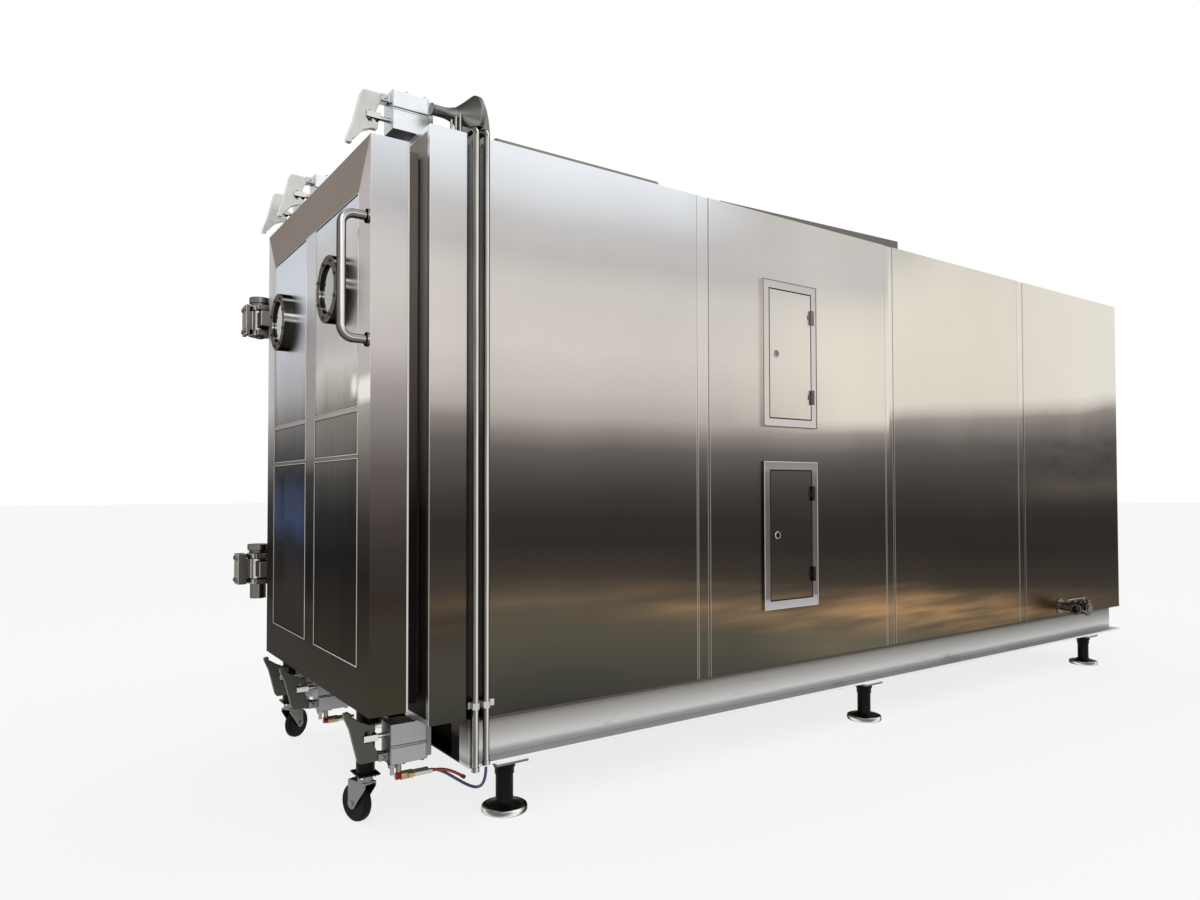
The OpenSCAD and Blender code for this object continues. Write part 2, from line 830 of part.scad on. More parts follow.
module shelves() {
    color("lightgray") place()
        for (i = [0:shelf_count - 1])
            block([-shelf_w / 2, shelf_front, shelf_z(i)],
                  [shelf_w / 2, shelf_front + shelf_l, shelf_z(i) + shelf_t]);
}

module tray(y, z) {
    difference() {
        block([-tray_w / 2, y, z], [tray_w / 2, y + tray_l, z + tray_h]);
        block([-tray_w / 2 + tray_t, y + tray_t, z + tray_t],
              [tray_w / 2 - tray_t, y + tray_l - tray_t, z + tray_h + cut]);
    }
}

module trays() {
    color("whitesmoke") place()
        for (i = [0:shelf_count - 1], k = [0:tray_rows - 1])
            tray(shelf_front + 10 + k * tray_step, shelf_z(i) + shelf_t);
}

module coil_bend(y, z, turn) {
    translate([0, y, z]) rotate([0, -90, 0]) rotate([0, 0, turn])
        rotate_extrude(angle = 180) translate([coil_pitch / 2, 0]) circle(r = coil_r);
}

module condenser_coil() {
    comb_step = (coil_back - coil_front - 430) / 2;
    union() {
        for (i = [0:coil_passes - 1])
            rod_y(coil_r, 0, coil_front, coil_back, coil_first + i * coil_pitch);
        for (i = [0:coil_passes - 2])
            if (i % 2 == 0)
                coil_bend(coil_back, coil_first + (i + 0.5) * coil_pitch, 0);
            else
                coil_bend(coil_front, coil_first + (i + 0.5) * coil_pitch, 180);
        for (i = [0:2])
            block([coil_r - 2, coil_front + 200 + i * comb_step, coil_first - 40],
                  [opening_w / 2 - coil_x, coil_front + 230 + i * comb_step,
                   coil_first + (coil_passes - 1) * coil_pitch + 40]);
    }
}

module condenser_coils() {
    color("gainsboro") place()
        for (side = [0, 1])
            mirror([side, 0, 0]) translate([coil_x, 0, 0]) condenser_coil();
}

// ---- Door ----

module door_skin() {
    half = door_w / 2;
    color("silver") place() {
        difference() {
            block([-half, door_front, door_low], [half, door_rear, door_high]);
            block([-half + door_sheet, door_front + door_sheet, door_low + door_sheet],
                  [half - door_sheet, door_rear - door_sheet, door_high - door_sheet]);
            block([-half + plate_inset, door_rear - door_sheet - cut, door_low + plate_inset],
                  [half - plate_inset, door_rear + cut, door_high - plate_inset]);
            for (field = fields)
                block([field[0] - field_w / 2, door_front - cut, field[1]],
                      [field[0] + field_w / 2, door_front + door_sheet + cut, field[1] + field[2]]);
        }
    }
}

module door_infills() {
    lap = min(infill_lap, rail_h / 2 - 0.5);
    color("gainsboro") place() {
        difference() {
            union()
                for (field = fields)
                    block([field[0] - field_w / 2 - lap, door_front + door_sheet, field[1] - lap],
                          [field[0] + field_w / 2 + lap, door_front + 2 * door_sheet,
                           field[1] + field[2] + lap]);
            for (side = [-1, 1])
                rod_y(sight_hole_r, side * sight_x, door_front, door_front + 20, sight_centre_z);
        }
    }
}

module door_plate() {
    half = door_w / 2 - plate_inset;
    stiffener_t = 12;
    core_front = door_front + 3 * door_sheet;
    color("gray") place() {
        difference() {
            union() {
                block([-half, door_rear, door_low + plate_inset],
                      [half, plate_rear, door_high - plate_inset]);
                for (x = [for (k = [-3:3]) k * half / 3.2])
                    block([x - stiffener_t / 2, core_front, door_low + plate_inset + 10],
                          [x + stiffener_t / 2, door_rear + cut, door_high - plate_inset - 10]);
                for (z = [for (k = [0:5]) k * (door_h - 252) / 5])
                    block([-half + 10, core_front, door_low + 120 + z],
                          [half - 10, door_rear + cut, door_low + 120 + z + stiffener_t]);
            }
            for (side = [-1, 1])
                rod_y(sight_hole_r, side * sight_x, door_front, plate_rear + cut, sight_centre_z);
        }
    }
}

module door_liner() {
    half = opening_w / 2 - liner_clear;
    color("gainsboro") place() {
        difference() {
            block([-half, plate_rear, opening_z + liner_clear],
                  [half, collar_front + liner_reach, opening_z + opening_h - liner_clear]);
            for (side = [-1, 1])
                rod_y(sight_hole_r, side * sight_x, plate_rear - cut,
                      collar_front + liner_reach + cut, sight_centre_z);
        }
    }
}

module door_gasket() {
    inner_w = opening_w + 2 * gasket_margin;
    inner_h = opening_h + 2 * gasket_margin;
    color("dimgray") place()
        ring_y(inner_w + 2 * gasket_w, inner_h + 2 * gasket_w, inner_w, inner_h,
               plate_rear, collar_front - run_clear);
}

module handle_leg(side) {
    z = base_z + handle_z + side * handle_span / 2;
    y = door_front - handle_reach;
    rod_y(handle_r, handle_x, y + handle_bend, door_front, z);
    rod_y(handle_r + 10, handle_x, door_front - 7, door_front, z);
    translate([handle_x, y + handle_bend, z - side * handle_bend])
        rotate([0, 90, 0]) rotate([0, 0, side > 0 ? 180 : 270])
            rotate_extrude(angle = 90) translate([handle_bend, 0]) circle(r = handle_r);
}

module door_handle() {
    mid = base_z + handle_z;
    grip = handle_span / 2 - handle_bend;
    color("whitesmoke") place() {
        union() {
            for (side = [-1, 1]) handle_leg(side);
            rod_z(handle_r, handle_x, door_front - handle_reach, mid - grip, mid + grip);
        }
    }
}

module sight_ring(x) {
    front = door_front - sight_reach;
    seat = front + sight_cover_t;
    difference() {
        union() {
            rod_y(sight_r, x, seat, door_front + door_sheet, sight_centre_z);
            rod_y(sight_tube_r, x, door_front, collar_front + liner_reach, sight_centre_z);
        }
        rod_y(sight_bore_r, x, front, collar_front + liner_reach + cut, sight_centre_z);
        rod_y(sight_seat_r, x, seat - cut, seat + sight_pane_t, sight_centre_z);
    }
    difference() {
        rod_y(sight_r, x, front, seat, sight_centre_z);
        rod_y(sight_bore_r, x, front - cut, seat + cut, sight_centre_z);
    }
}

module sight_glass_rings() {
    color("whitesmoke") place()
        for (side = [-1, 1]) sight_ring(side * sight_x);
}

module sight_glass_panes() {
    seat = door_front - sight_reach + sight_cover_t;
    color("darkslategray") place()
        for (side = [-1, 1])
            rod_y(sight_seat_r - run_clear, side * sight_x, seat, seat + sight_pane_t, sight_centre_z);
}

// ---- Hinges, about their own axis ----

module at_hinges() {
    for (z = hinge_heights) translate([hinge_x, hinge_y, z]) children();
}

module hinge_ear(low) {
    side = hinge_out;
    difference() {
        union() {
            rod_z(ear_r, 0, 0, low, low + ear_t);
            block([0, -ear_r / 2, low], [side, bracket_front + 20, low + ear_t]);
        }
        rod_z(hinge_pin_r, 0, 0, low - cut, low + ear_t + cut);
    }
}

module hinge_brackets() {
    length = channel_front - hinge_y;
    color("silver") place()
        at_hinges() union() {
            hinge_ear(-hinge_h / 2);
            hinge_ear(hinge_h / 2 - ear_t);
            block([hinge_out - bracket_t, bracket_front, -hinge_h / 2],
                  [hinge_out, length, hinge_h / 2]);
        }
}

module hinge_pins() {
    top = hinge_h / 2;
    color("dimgray") place() {
        at_hinges() {
            rod_z(hinge_pin_r, 0, 0, -top - 10, top + neck_h);
            rod_z(46, 0, 0, top, top + neck_h);
            rod_z(cap_r, 0, 0, top + neck_h, top + neck_h + cap_h);
        }
        translate([hinge_x, hinge_y, hinge_heights[0]])
            rod_z(40, 0, 0, -top - stub_h, -top);
    }
}

module hinge_arms() {
    face = arm_reach;
    plate_half = 75;
    color("silver") place()
        for (i = [0, 1]) translate([hinge_x, hinge_y, hinge_heights[i]]) difference() {
            front = -front_plates[i][0];
            union() {
                rod_z(barrel_r, 0, 0, -barrel_h / 2, barrel_h / 2);
                block([0, -22, -40], [face, 38, 40]);
                block([face - arm_plate_t, 20, -plate_half], [face, 145, plate_half]);
                block([-30, front + front_plates[i][1] / 2, -50], [30, 0, 50]);
                block([-50, front, -hinge_h / 2], [50, front + front_plates[i][1], hinge_h / 2]);
            }
            rod_z(hinge_pin_r + pin_clear, 0, 0, -barrel_h, barrel_h);
        }
}

// ---- Casters ----

module caster_post(at) {
    plate_l = 105;
    plate_w = 85;
    translate([at[0], at[1], 0]) union() {
        rod_z(caster_post_r, 0, 0, caster_h, door_low);
        block([-plate_l / 2, -plate_w / 2, caster_h - caster_plate_t],
              [plate_l / 2, plate_w / 2, caster_h]);
        rod_z(kingpin_r, 0, 0, bridge_z - 6, caster_h);
        rod_z(kingpin_r + 6, 0, 0, bridge_z - 8, bridge_z - run_clear);
    }
}

module caster_posts() {
    color("dimgray") place() {
        caster_post(caster_near);
        caster_post(caster_far);
    }
}

// The fork trails along +X of its own frame, with the swivel at the origin
module caster_fork() {
    difference() {
        union() {
            block([-32, -fork_half - fork_t, bridge_z],
                  [caster_trail + 20, fork_half + fork_t, bridge_z + bridge_t]);
            rod_z(race_r, 0, 0, bridge_z, caster_h - caster_plate_t - run_clear);
            for (side = [0, 1])
                mirror([0, side, 0]) {
                    block([caster_trail - 24, fork_half, wheel_r - 4],
                          [caster_trail + 20, fork_half + fork_t, bridge_z + bridge_t]);
                    translate([0, fork_half + fork_t, 0]) rotate([90, 0, 0]) linear_extrude(fork_t)
                        polygon([[-32, bridge_z + bridge_t], [-32, bridge_z - 12],
                                 [caster_trail - 24, wheel_r - 4], [caster_trail - 24, bridge_z + bridge_t]]);
                    rod_y(22, caster_trail, fork_half, fork_half + fork_t, wheel_r);
                }
        }
        rod_z(kingpin_r + pin_clear, 0, 0, bridge_z - cut, caster_h);
    }
    rod_y(axle_r, caster_trail, -fork_half - fork_t - 6, fork_half + fork_t + 6, wheel_r);
    for (side = [0, 1])
        mirror([0, side, 0])
            rod_y(11, caster_trail, fork_half + fork_t, fork_half + fork_t + 6, wheel_r);
}

module caster_wheel() {
    translate([caster_trail, 0, wheel_r]) rotate([90, 0, 0]) translate([0, 0, -wheel_w / 2]) {
        difference() {
            rod_z(wheel_r, 0, 0, 0, wheel_w);
            rod_z(hub_r, 0, 0, -cut, wheel_w + cut);
        }
        difference() {
            union() {
                rod_z(hub_r, 0, 0, 6, wheel_w - 6);
                rod_z(18, 0, 0, -3, wheel_w + 3);
            }
            rod_z(axle_r + pin_clear, 0, 0, -5, wheel_w + 5);
        }
    }
}

module at_caster(at, turn) {
    place() translate([at[0], at[1], 0]) rotate([0, 0, turn]) children();
}

module caster_fork_near() {
    color("gray") at_caster(caster_near, caster_near_turn) caster_fork();
}

module caster_fork_far() {
    color("gray") at_caster(caster_far, caster_far_turn) caster_fork();
}

module caster_wheel_near() {
    color("dimgray") at_caster(caster_near, caster_near_turn) caster_wheel();
}

module caster_wheel_far() {
    color("dimgray") at_caster(caster_far, caster_far_turn) caster_wheel();
}

// ---- Door clamps ----
// A clamp is drawn with +Z away from the body and z = 0 on the collar, at x = 0.

// Puts a clamp on the collar's top, or under its bottom
module at_top(x) {
    place() translate([x, 0, roof_z]) children();
}

module at_bottom(x) {
    place() translate([x, 0, base_z]) mirror([0, 0, 1]) children();
}

module clamp_cylinder() {
    rod_z_at = pivot_out - rod_drop;
    top = block_seat + block_h;
    seam = block_seat + block_h * 0.55;
    ear_x = lever_t / 2 + 1;
    ear_w = 8;
    difference() {
        union() {
            block([-block_w / 2, block_front, block_seat], [block_w / 2, block_rear, top]);
            block([-block_w / 2 - 8, collar_front + 10, 0],
                  [block_w / 2 + 8, channel_front - 10, block_seat]);
            block([-block_w / 2 + 8, block_rear, block_seat + 10],
                  [block_w / 2 - 8, block_rear + 22, top - 8]);
            for (side = [0, 1])
                mirror([side, 0, 0])
                    block([ear_x, pivot_y - 15, pivot_out - 15],
                          [ear_x + ear_w, block_front + cut, pivot_out + 15]);
        }
        block([-block_w, block_front - cut, seam], [-block_w / 2 + 2, block_rear, seam + 3]);
        block([block_w / 2 - 2, block_front - cut, seam], [block_w, block_rear, seam + 3]);
        rod_y(rod_r + 0.5, 0, block_front - cut, block_front + 110, rod_z_at);
    }
    rod_x(pivot_r, -ear_x - ear_w - 5, ear_x + ear_w + 5, pivot_y, pivot_out);
}

module clamp_rod() {
    z = pivot_out - rod_drop;
    pin_y = pivot_y - rod_pin_ahead;
    fork_h = 24;
    difference() {
        union() {
            rod_y(rod_r, 0, pin_y + 34, block_front + 80, z);
            block([-fork_w / 2, pin_y - 13, z - fork_h / 2],
                  [fork_w / 2, pin_y + 44, z + fork_h / 2]);
        }
        block([-lever_t / 2 - 1, pin_y - 14, z - fork_h], [lever_t / 2 + 1, pin_y + 33, z + fork_h]);
    }
    rod_x(rod_end_r, -fork_w / 2, fork_w / 2, pin_y, z);
}

// The lever's side outline, in its plane: ahead of the pivot and down towards the door.
// It is drawn with the nose on the door's face, then turned up to its place when released.
module lever_outline(inset) {
    ahead = closed_ahead;
    drop = closed_drop(inset);
    belly = rod_pin_ahead + 47;
    waist = rod_pin_ahead - 36;
    toe = rod_pin_ahead - 50;
    low = rod_drop + 54;
    polygon([[-14, 14], [rod_pin_ahead + 24, 4], [rod_pin_ahead + 32, -10], [belly, -low - 2],
             [ahead + nose_t, -drop + pad_h], [ahead, -drop + pad_h], [ahead - 10, -drop + pad_h + 7],
             [rod_pin_ahead + 4, -min(low + 23, drop - 30)], [toe + 20, -low - 2], [toe, -low],
             [toe, -low + 25], [waist, -low + 34], [waist, -60], [14, -24], [-14, -16]]);
}

// The pad under the lever's nose, which presses on the door
module pad_outline(inset) {
    top = pad_h - seam_gap;
    translate([closed_ahead, -closed_drop(inset)])
        polygon([[0, 0], [nose_t - 2, 0], [nose_t, 3], [nose_t, top], [0, top]]);
}

// Stands an outline, drawn with the lever closed, up at rest on the clamp's pivot
module at_pivot(inset) {
    translate([-lever_t / 2, pivot_y, pivot_out]) rotate([90, 0, 90])
        linear_extrude(lever_t) mirror([1, 0]) rotate(release_turn(inset)) children();
}

module clamp_lever(inset) {
    // the rod's pin sweeps this far along its slot, on each side of rest
    slot_up = 8;
    slot_down = 19;
    pin_y = pivot_y - rod_pin_ahead;
    z = pivot_out - rod_drop;
    difference() {
        at_pivot(inset) lever_outline(inset);
        rod_x(pivot_r + pin_clear, -lever_t, lever_t, pivot_y, pivot_out);
        rod_x(slot_r, -lever_t, lever_t, pin_y + 1, z + slot_up);
        rod_x(slot_r, -lever_t, lever_t, pin_y + 3, z - slot_down);
        block([-lever_t, pin_y + 2 - slot_r, z - slot_down], [lever_t, pin_y + 2 + slot_r, z + slot_up]);
    }
    at_pivot(inset) pad_outline(inset);
}

// The screw that limits a lower clamp's stroke
module stroke_screw() {
    top = block_seat + block_h;
    rod_z(15, block_w / 2 - 20, block_front + 14, top, top + 16);
    rod_z(8, block_w / 2 - 20, block_front + 14, top, top + 44);
}

module clamp_cylinders() {
    color("silver") {
        for (x = high_clamps) at_top(x) clamp_cylinder();
        for (x = low_clamps) at_bottom(x) union() {
            clamp_cylinder();
            stroke_screw();
        }
    }
}

module clamp_rod_top_near() { color("whitesmoke") at_top(high_clamps[0]) clamp_rod(); }
module clamp_rod_top_mid() { color("whitesmoke") at_top(high_clamps[1]) clamp_rod(); }
module clamp_rod_top_far() { color("whitesmoke") at_top(high_clamps[2]) clamp_rod(); }
module clamp_rod_bottom_near() { color("whitesmoke") at_bottom(low_clamps[0]) clamp_rod(); }
module clamp_rod_bottom_mid() { color("whitesmoke") at_bottom(low_clamps[1]) clamp_rod(); }
module clamp_rod_bottom_far() { color("whitesmoke") at_bottom(low_clamps[2]) clamp_rod(); }

module clamp_lever_top_near() { color("lightgray") at_top(high_clamps[0]) clamp_lever(door_top_inset); }
module clamp_lever_top_mid() { color("lightgray") at_top(high_clamps[1]) clamp_lever(door_top_inset); }
module clamp_lever_top_far() { color("lightgray") at_top(high_clamps[2]) clamp_lever(door_top_inset); }
module clamp_lever_bottom_near() { color("gray") at_bottom(low_clamps[0]) clamp_lever(door_bottom_inset); }
module clamp_lever_bottom_mid() { color("gray") at_bottom(low_clamps[1]) clamp_lever(door_bottom_inset); }
module clamp_lever_bottom_far() { color("gray") at_bottom(low_clamps[2]) clamp_lever(door_bottom_inset); }

// ---- Services ----

module riser(y, low) {
    union() {
        difference() {
            rod_z(riser_r, riser_x, y, low, riser_top - riser_bend);
            rod_z(riser_r - 2, riser_x, y, low + 20, riser_top - riser_bend + cut);
        }
        translate([riser_x - riser_bend, y, riser_top - riser_bend])
            rotate([90, 0, 0]) rotate_extrude(angle = 90) translate([riser_bend, 0]) circle(r = riser_r);
        rod_x(riser_r, manifold_x, riser_x - riser_bend, y, riser_top);
        rod_z(riser_r + 3, riser_x, y, low, low + 18);
    }
}

// A short pipe with a nut on the roof, beside the horn
module roof_stub(x, y, height) {
    union() {
        rod_z(5.5, x, y, roof_z, roof_z + height);
        rod_z(7.5, x, y, roof_z, roof_z + 14);
    }
}

module riser_pipes() {
    stub_step = 16;
    color("gainsboro") place() {
        riser(riser_places[0], riser_low);
        riser(riser_places[1], riser_low + 20);
        for (k = [0:2])
            roof_stub(manifold_x - 10 + 6 * k, channel_front - 11 - (2 - k) * stub_step, 62 + 14 * k);
    }
}

module pipe_straps() {
    z = base_z + 55;
    strap_h = 26;
    strap_end = 24;
    color("silver") place()
        difference() {
            union() {
                block([half_w, riser_places[0] - strap_end, z - strap_h / 2],
                      [half_w + 2, strap_end, z + strap_h / 2]);
                for (y = riser_places)
                    rod_z(riser_r + 4, riser_x, y, z - strap_h / 2, z + strap_h / 2);
            }
            for (y = riser_places)
                rod_z(riser_r + run_clear, riser_x, y, z - strap_h, z + strap_h);
        }
}

// A block in the channel that carries a horn towards the door and a cover behind it
module air_manifold() {
    top = roof_z + manifold_h;
    low_x = manifold_x - manifold_w;
    horn_x = manifold_x - manifold_w / 2;
    horn_z = roof_z + horn_r + 4;
    horn_y = channel_front / 2 + 11;
    plate_t = 18;
    cover_z = top - 30;
    color("gray") place()
        union() {
            block([low_x, channel_front, channel_top], [manifold_x, 0, top]);
            difference() {
                translate([horn_x, horn_y, horn_z]) rotate([90, 0, 0]) rotate_extrude()
                    polygon([[0, -plate_t], [horn_r, -plate_t], [horn_r, 0], [horn_r * 0.65, 35], [33, 70],
                             [24, 99], [21, 119], [21, 168], [25, 168], [25, 175], [0, 175]]);
                block([horn_x - 2 * horn_r, channel_front, channel_top - horn_r],
                      [horn_x + 2 * horn_r, horn_r, top]);
            }
            translate([low_x, horn_y + plate_t, cover_z]) rotate([90, 0, 90]) linear_extrude(manifold_w)
                intersection() {
                    scale([47, 2 * horn_r - 28]) circle(r = 1);
                    square(2 * horn_r);
                }
        }
}

// The air fitting under a lower clamp, with its outlets towards +Y
module clamp_fitting(x) {
    low_block = base_z - block_seat - block_h;
    y = block_front + 44;
    union() {
        rod_z(11, x, y, fitting_z, low_block);
        rod_y(14, x, y - 12, y + 7, fitting_z);
        rod_y(17, x, y + 7, y + 55, fitting_z);
        rod_y(14, x, y + 55, blue_start[1], fitting_z);
        rod_y(10, x + 24, y + 30, red_start[1], red_start[2]);
        rod_x(8, x, x + 24, y + 36, red_start[2]);
    }
}

module hose_fittings() {
    near = blue_start[0] - low_clamps[0];
    color("goldenrod") place()
        for (x = low_clamps) clamp_fitting(x + near);
}

module blue_hose() {
    color("royalblue") place() hose(blue_points, hose_r, 10);
}

module red_hose() {
    color("firebrick") place() hose(red_points, hose_r, 10);
}

module red_hose_plug() {
    last = red_points[len(red_points) - 1];
    way = last - red_points[len(red_points) - 2];
    length = norm(way);
    color("gray") place()
        translate(last)
            rotate([0, acos(way[2] / length), atan2(way[1], way[0])])
                cylinder(r = plug_r, h = plug_l);
}

module roof_ducts() {
    duct_x = half_w - 340;
    front_r = 40;
    front_z = roof_z + 130;
    color("gray") place() {
        union() {
            rod_y(front_r, duct_x, 200, 1120, front_z);
            for (y = [260, 1040])
                block([duct_x - 30, y, roof_z], [duct_x + 30, y + 24, front_z]);
        }
        union() {
            translate([duct_x - 60, 1540, roof_z + 40]) rotate([1.6, 0, 0]) cube([100, 1560, 108]);
            for (y = [1620, 2960])
                block([duct_x - 50, y, roof_z], [duct_x + 30, y + 30, roof_z + 100]);
        }
    }
}

// ---- Hatches ----

module hatch_frame(z) {
    border = hatch_border;
    tub = [[half_w - tub_depth, hatch_y + border - tub_wall, z + border - tub_wall],
           [hatch_x, hatch_y + hatch_w - border + tub_wall, z + hatch_h - border + tub_wall]];
    mid = z + hatch_h / 2;
    keeper_x = hatch_x - hatch_door_t - 2;
    difference() {
        union() {
            block([half_w, hatch_y, z], [hatch_x, hatch_y + hatch_w, z + hatch_h]);
            block(tub[0], tub[1]);
        }
        block([half_w - tub_depth + tub_wall, hatch_y + border, z + border],
              [hatch_x + cut, hatch_y + hatch_w - border, z + hatch_h - border]);
    }
    block([keeper_x - keeper_t, hatch_y + border + seam_gap, mid - 20],
          [keeper_x, hatch_y + border + keeper_w, mid + 20]);
    for (side = [-1, 1])
        translate([hatch_axis_x, hatch_axis_y, mid + side * knuckle_z]) fixed_leaf();
}

// The leaf on the frame: knuckles at both ends with the pin through
module fixed_leaf() {
    half = knuckle_l / 2;
    third = knuckle_l / 6;
    back = hatch_x - hatch_axis_x;
    union() {
        block([back, knuckle_r + 0.5, -half], [back + leaf_t, leaf_w, half]);
        for (side = [0, 1])
            mirror([0, 0, side]) {
                rod_z(knuckle_r, 0, 0, third + 0.5, half);
                block([back, 0, third + 0.5], [back + leaf_t, knuckle_r + 1, half]);
            }
        rod_z(knuckle_pin_r, 0, 0, -half, half);
    }
}

module hatch_frames() {
    color("gainsboro") place()
        for (z = hatch_heights) hatch_frame(z);
}

module hatch_door(z) {
    gap = hatch_border + hatch_door_gap;
    mid = z + hatch_h / 2;
    third = knuckle_l / 6;
    low_y = hatch_y + gap;
    high_y = hatch_y + hatch_w - gap;
    color("silver") place() {
        difference() {
            union() {
                difference() {
                    block([hatch_x - hatch_door_t, low_y, z + gap],
                          [hatch_x, high_y, z + hatch_h - gap]);
                    block([hatch_x - hatch_door_t - cut, low_y + 20, z + gap + 20],
                          [hatch_x - 4, high_y - 20, z + hatch_h - gap - 20]);
                }
                block([hatch_x - hatch_door_t, low_y, mid - 40], [hatch_x, low_y + 70, mid + 40]);
                for (side = [-1, 1])
                    translate([hatch_axis_x, hatch_axis_y, mid + side * knuckle_z]) {
                        block([hatch_x - hatch_axis_x, -leaf_w, -third],
                              [hatch_x - hatch_axis_x + leaf_t, 0, third]);
                        rod_z(knuckle_r, 0, 0, -third, third);
                    }
            }
            for (side = [-1, 1])
                translate([hatch_axis_x, hatch_axis_y, mid + side * knuckle_z])
                    rod_z(knuckle_pin_r + pin_clear, 0, 0, -knuckle_l, knuckle_l);
            rod_x(lock_r + pin_clear, hatch_x - 40, hatch_x + 40, hatch_y + hatch_border + lock_set, mid);
        }
    }
}

module hatch_door_upper() { hatch_door(hatch_heights[1]); }
module hatch_door_lower() { hatch_door(hatch_heights[0]); }

module hatch_lock(z) {
    y = hatch_y + hatch_border + lock_set;
    mid = z + hatch_h / 2;
    cam_x = hatch_x - hatch_door_t - 2 - keeper_t - 1.5;
    color("dimgray") place() {
        difference() {
            union() {
                rod_x(lock_r, cam_x + seam_gap, hatch_x + 1, y, mid);
                rod_x(lock_r + 3, hatch_x + run_clear, hatch_x + 5, y, mid);
            }
            block([hatch_x + 3, y - 1.5, mid - 7], [hatch_x + 6, y + 1.5, mid + 7]);
        }
        block([cam_x - cam_t, y - cam_w / 2, mid - cam_w / 2], [cam_x, y + cam_w / 2, mid + cam_l]);
    }
}

module hatch_lock_upper() { hatch_lock(hatch_heights[1]); }
module hatch_lock_lower() { hatch_lock(hatch_heights[0]); }

// ---- Drain valve ----

module drain_valve() {
    y = drain_y;
    z = drain_mid[2];
    body_end = drain_body_x + drain_body_l;
    body_mid = drain_body_x + drain_body_l / 2;
    riser = drain_riser_x();
    color("whitesmoke") place() {
        difference() {
            union() {
                rod_x(drain_r, riser, drain_body_x, y, z);
                rod_z(drain_r, riser, y, z - drain_r, opening_z - vessel_t);
                rod_x(52, half_w, half_w + 6, y, z);
                rod_x(43, drain_body_x - 26, drain_body_x - 8, y, z);
                rod_x(38, drain_body_x, body_end, y, z);
                rod_y(26, body_mid, y - 80, y, z);
                rod_y(38, body_mid, y - 92, y - 80, z);
                rod_z(22, body_mid, y, z, z + 52);
                rod_x(46, body_end + 2, body_end + 18, y, z);
                rod_x(30, body_end, body_end + clamp_ring_l, y, z);
                rod_z(7, body_end + 10, y, z + 40, z + 64);
                block([body_end + 2, y - 20, z + 50], [body_end + 18, y + 20, z + 60]);
            }
            rod_y(20, body_mid, y - 93, y - 30, z);
        }
        rod_z(8, body_mid, y, z + 50, lever_hub_z + 14);
    }
}

module drain_valve_lever() {
    body_mid = drain_body_x + drain_body_l / 2;
    color("whitesmoke") place()
        difference() {
            union() {
                rod_z(20, body_mid, drain_y, lever_hub_z, lever_hub_z + 12);
                block([body_mid - 11, drain_y - 190, lever_hub_z + 4],
                      [body_mid + 11, drain_y, lever_hub_z + 10]);
                rod_z(11, body_mid, drain_y - 190, lever_hub_z + 4, lever_hub_z + 10);
            }
            rod_z(8 + pin_clear, body_mid, drain_y, lever_hub_z - cut, lever_hub_z + 13);
        }
}

base_frame();
levelling_feet();
chamber_shell();
shell_ribs();
insulation();
front_flange();
collar_skin();
side_panels_right();
side_panels_left();
roof_panels();
rear_panel();
panel_battens();
shelf_rack();
shelves();
trays();
condenser_coils();
door_skin();
door_infills();
door_plate();
door_liner();
door_gasket();
door_handle();
sight_glass_rings();
sight_glass_panes();
hinge_brackets();
hinge_pins();
hinge_arms();
caster_posts();
caster_fork_near();
caster_fork_far();
caster_wheel_near();
caster_wheel_far();
clamp_cylinders();
clamp_rod_top_near();
clamp_rod_top_mid();
clamp_rod_top_far();
clamp_rod_bottom_near();
clamp_rod_bottom_mid();
clamp_rod_bottom_far();
clamp_lever_top_near();
clamp_lever_top_mid();
clamp_lever_top_far();
clamp_lever_bottom_near();
clamp_lever_bottom_mid();
clamp_lever_bottom_far();
riser_pipes();
pipe_straps();
air_manifold();
hose_fittings();
blue_hose();
red_hose();
red_hose_plug();
roof_ducts();
hatch_frames();
hatch_door_upper();
hatch_door_lower();
hatch_lock_upper();
hatch_lock_lower();
drain_valve();
drain_valve_lever();
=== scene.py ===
"""The looks of an industrial vacuum freeze dryer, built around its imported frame.

Metres, +Z up. The chamber runs along Y with its door at the low end, and the hatches are on the +X side.
"""

from __future__ import annotations

import logging
import math
from contextlib import contextmanager
from dataclasses import dataclass, field
from enum import Enum
from typing import Callable, Iterator, Sequence

import bpy
from mathutils import Euler, Matrix, Vector

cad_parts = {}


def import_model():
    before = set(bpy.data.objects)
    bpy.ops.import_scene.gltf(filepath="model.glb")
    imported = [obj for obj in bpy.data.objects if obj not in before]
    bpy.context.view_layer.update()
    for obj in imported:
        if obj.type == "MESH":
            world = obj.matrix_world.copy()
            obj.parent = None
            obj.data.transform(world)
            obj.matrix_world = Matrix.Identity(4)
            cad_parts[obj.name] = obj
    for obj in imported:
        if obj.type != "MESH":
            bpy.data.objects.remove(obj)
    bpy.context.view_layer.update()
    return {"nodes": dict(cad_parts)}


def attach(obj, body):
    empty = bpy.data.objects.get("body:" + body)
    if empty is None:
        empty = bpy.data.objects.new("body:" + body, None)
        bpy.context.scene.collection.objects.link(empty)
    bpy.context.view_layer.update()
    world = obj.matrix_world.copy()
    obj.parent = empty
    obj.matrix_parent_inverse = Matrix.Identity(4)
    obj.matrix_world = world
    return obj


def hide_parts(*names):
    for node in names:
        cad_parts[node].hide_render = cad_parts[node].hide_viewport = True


LOG = logging.getLogger("freeze_dryer")
MM = 0.001
SHIFT_X, SHIFT_Y = 33 * MM, 2466.5 * MM

Colour = tuple[float, float, float]
Stop = tuple[float, Colour]
Point = tuple[float, float, float]
Socket = bpy.types.NodeSocket
Material = bpy.types.Material
Piece = bpy.types.Object


def tone(red: float, green: float, blue: float) -> Colour:
    """Turns a display colour of 0 to 255 into the linear colour that a shader takes."""
    def linear(part: float) -> float:
        part /= 255
        return part / 12.92 if part <= 0.04045 else ((part + 0.055) / 1.055) ** 2.4
    return linear(red), linear(green), linear(blue)


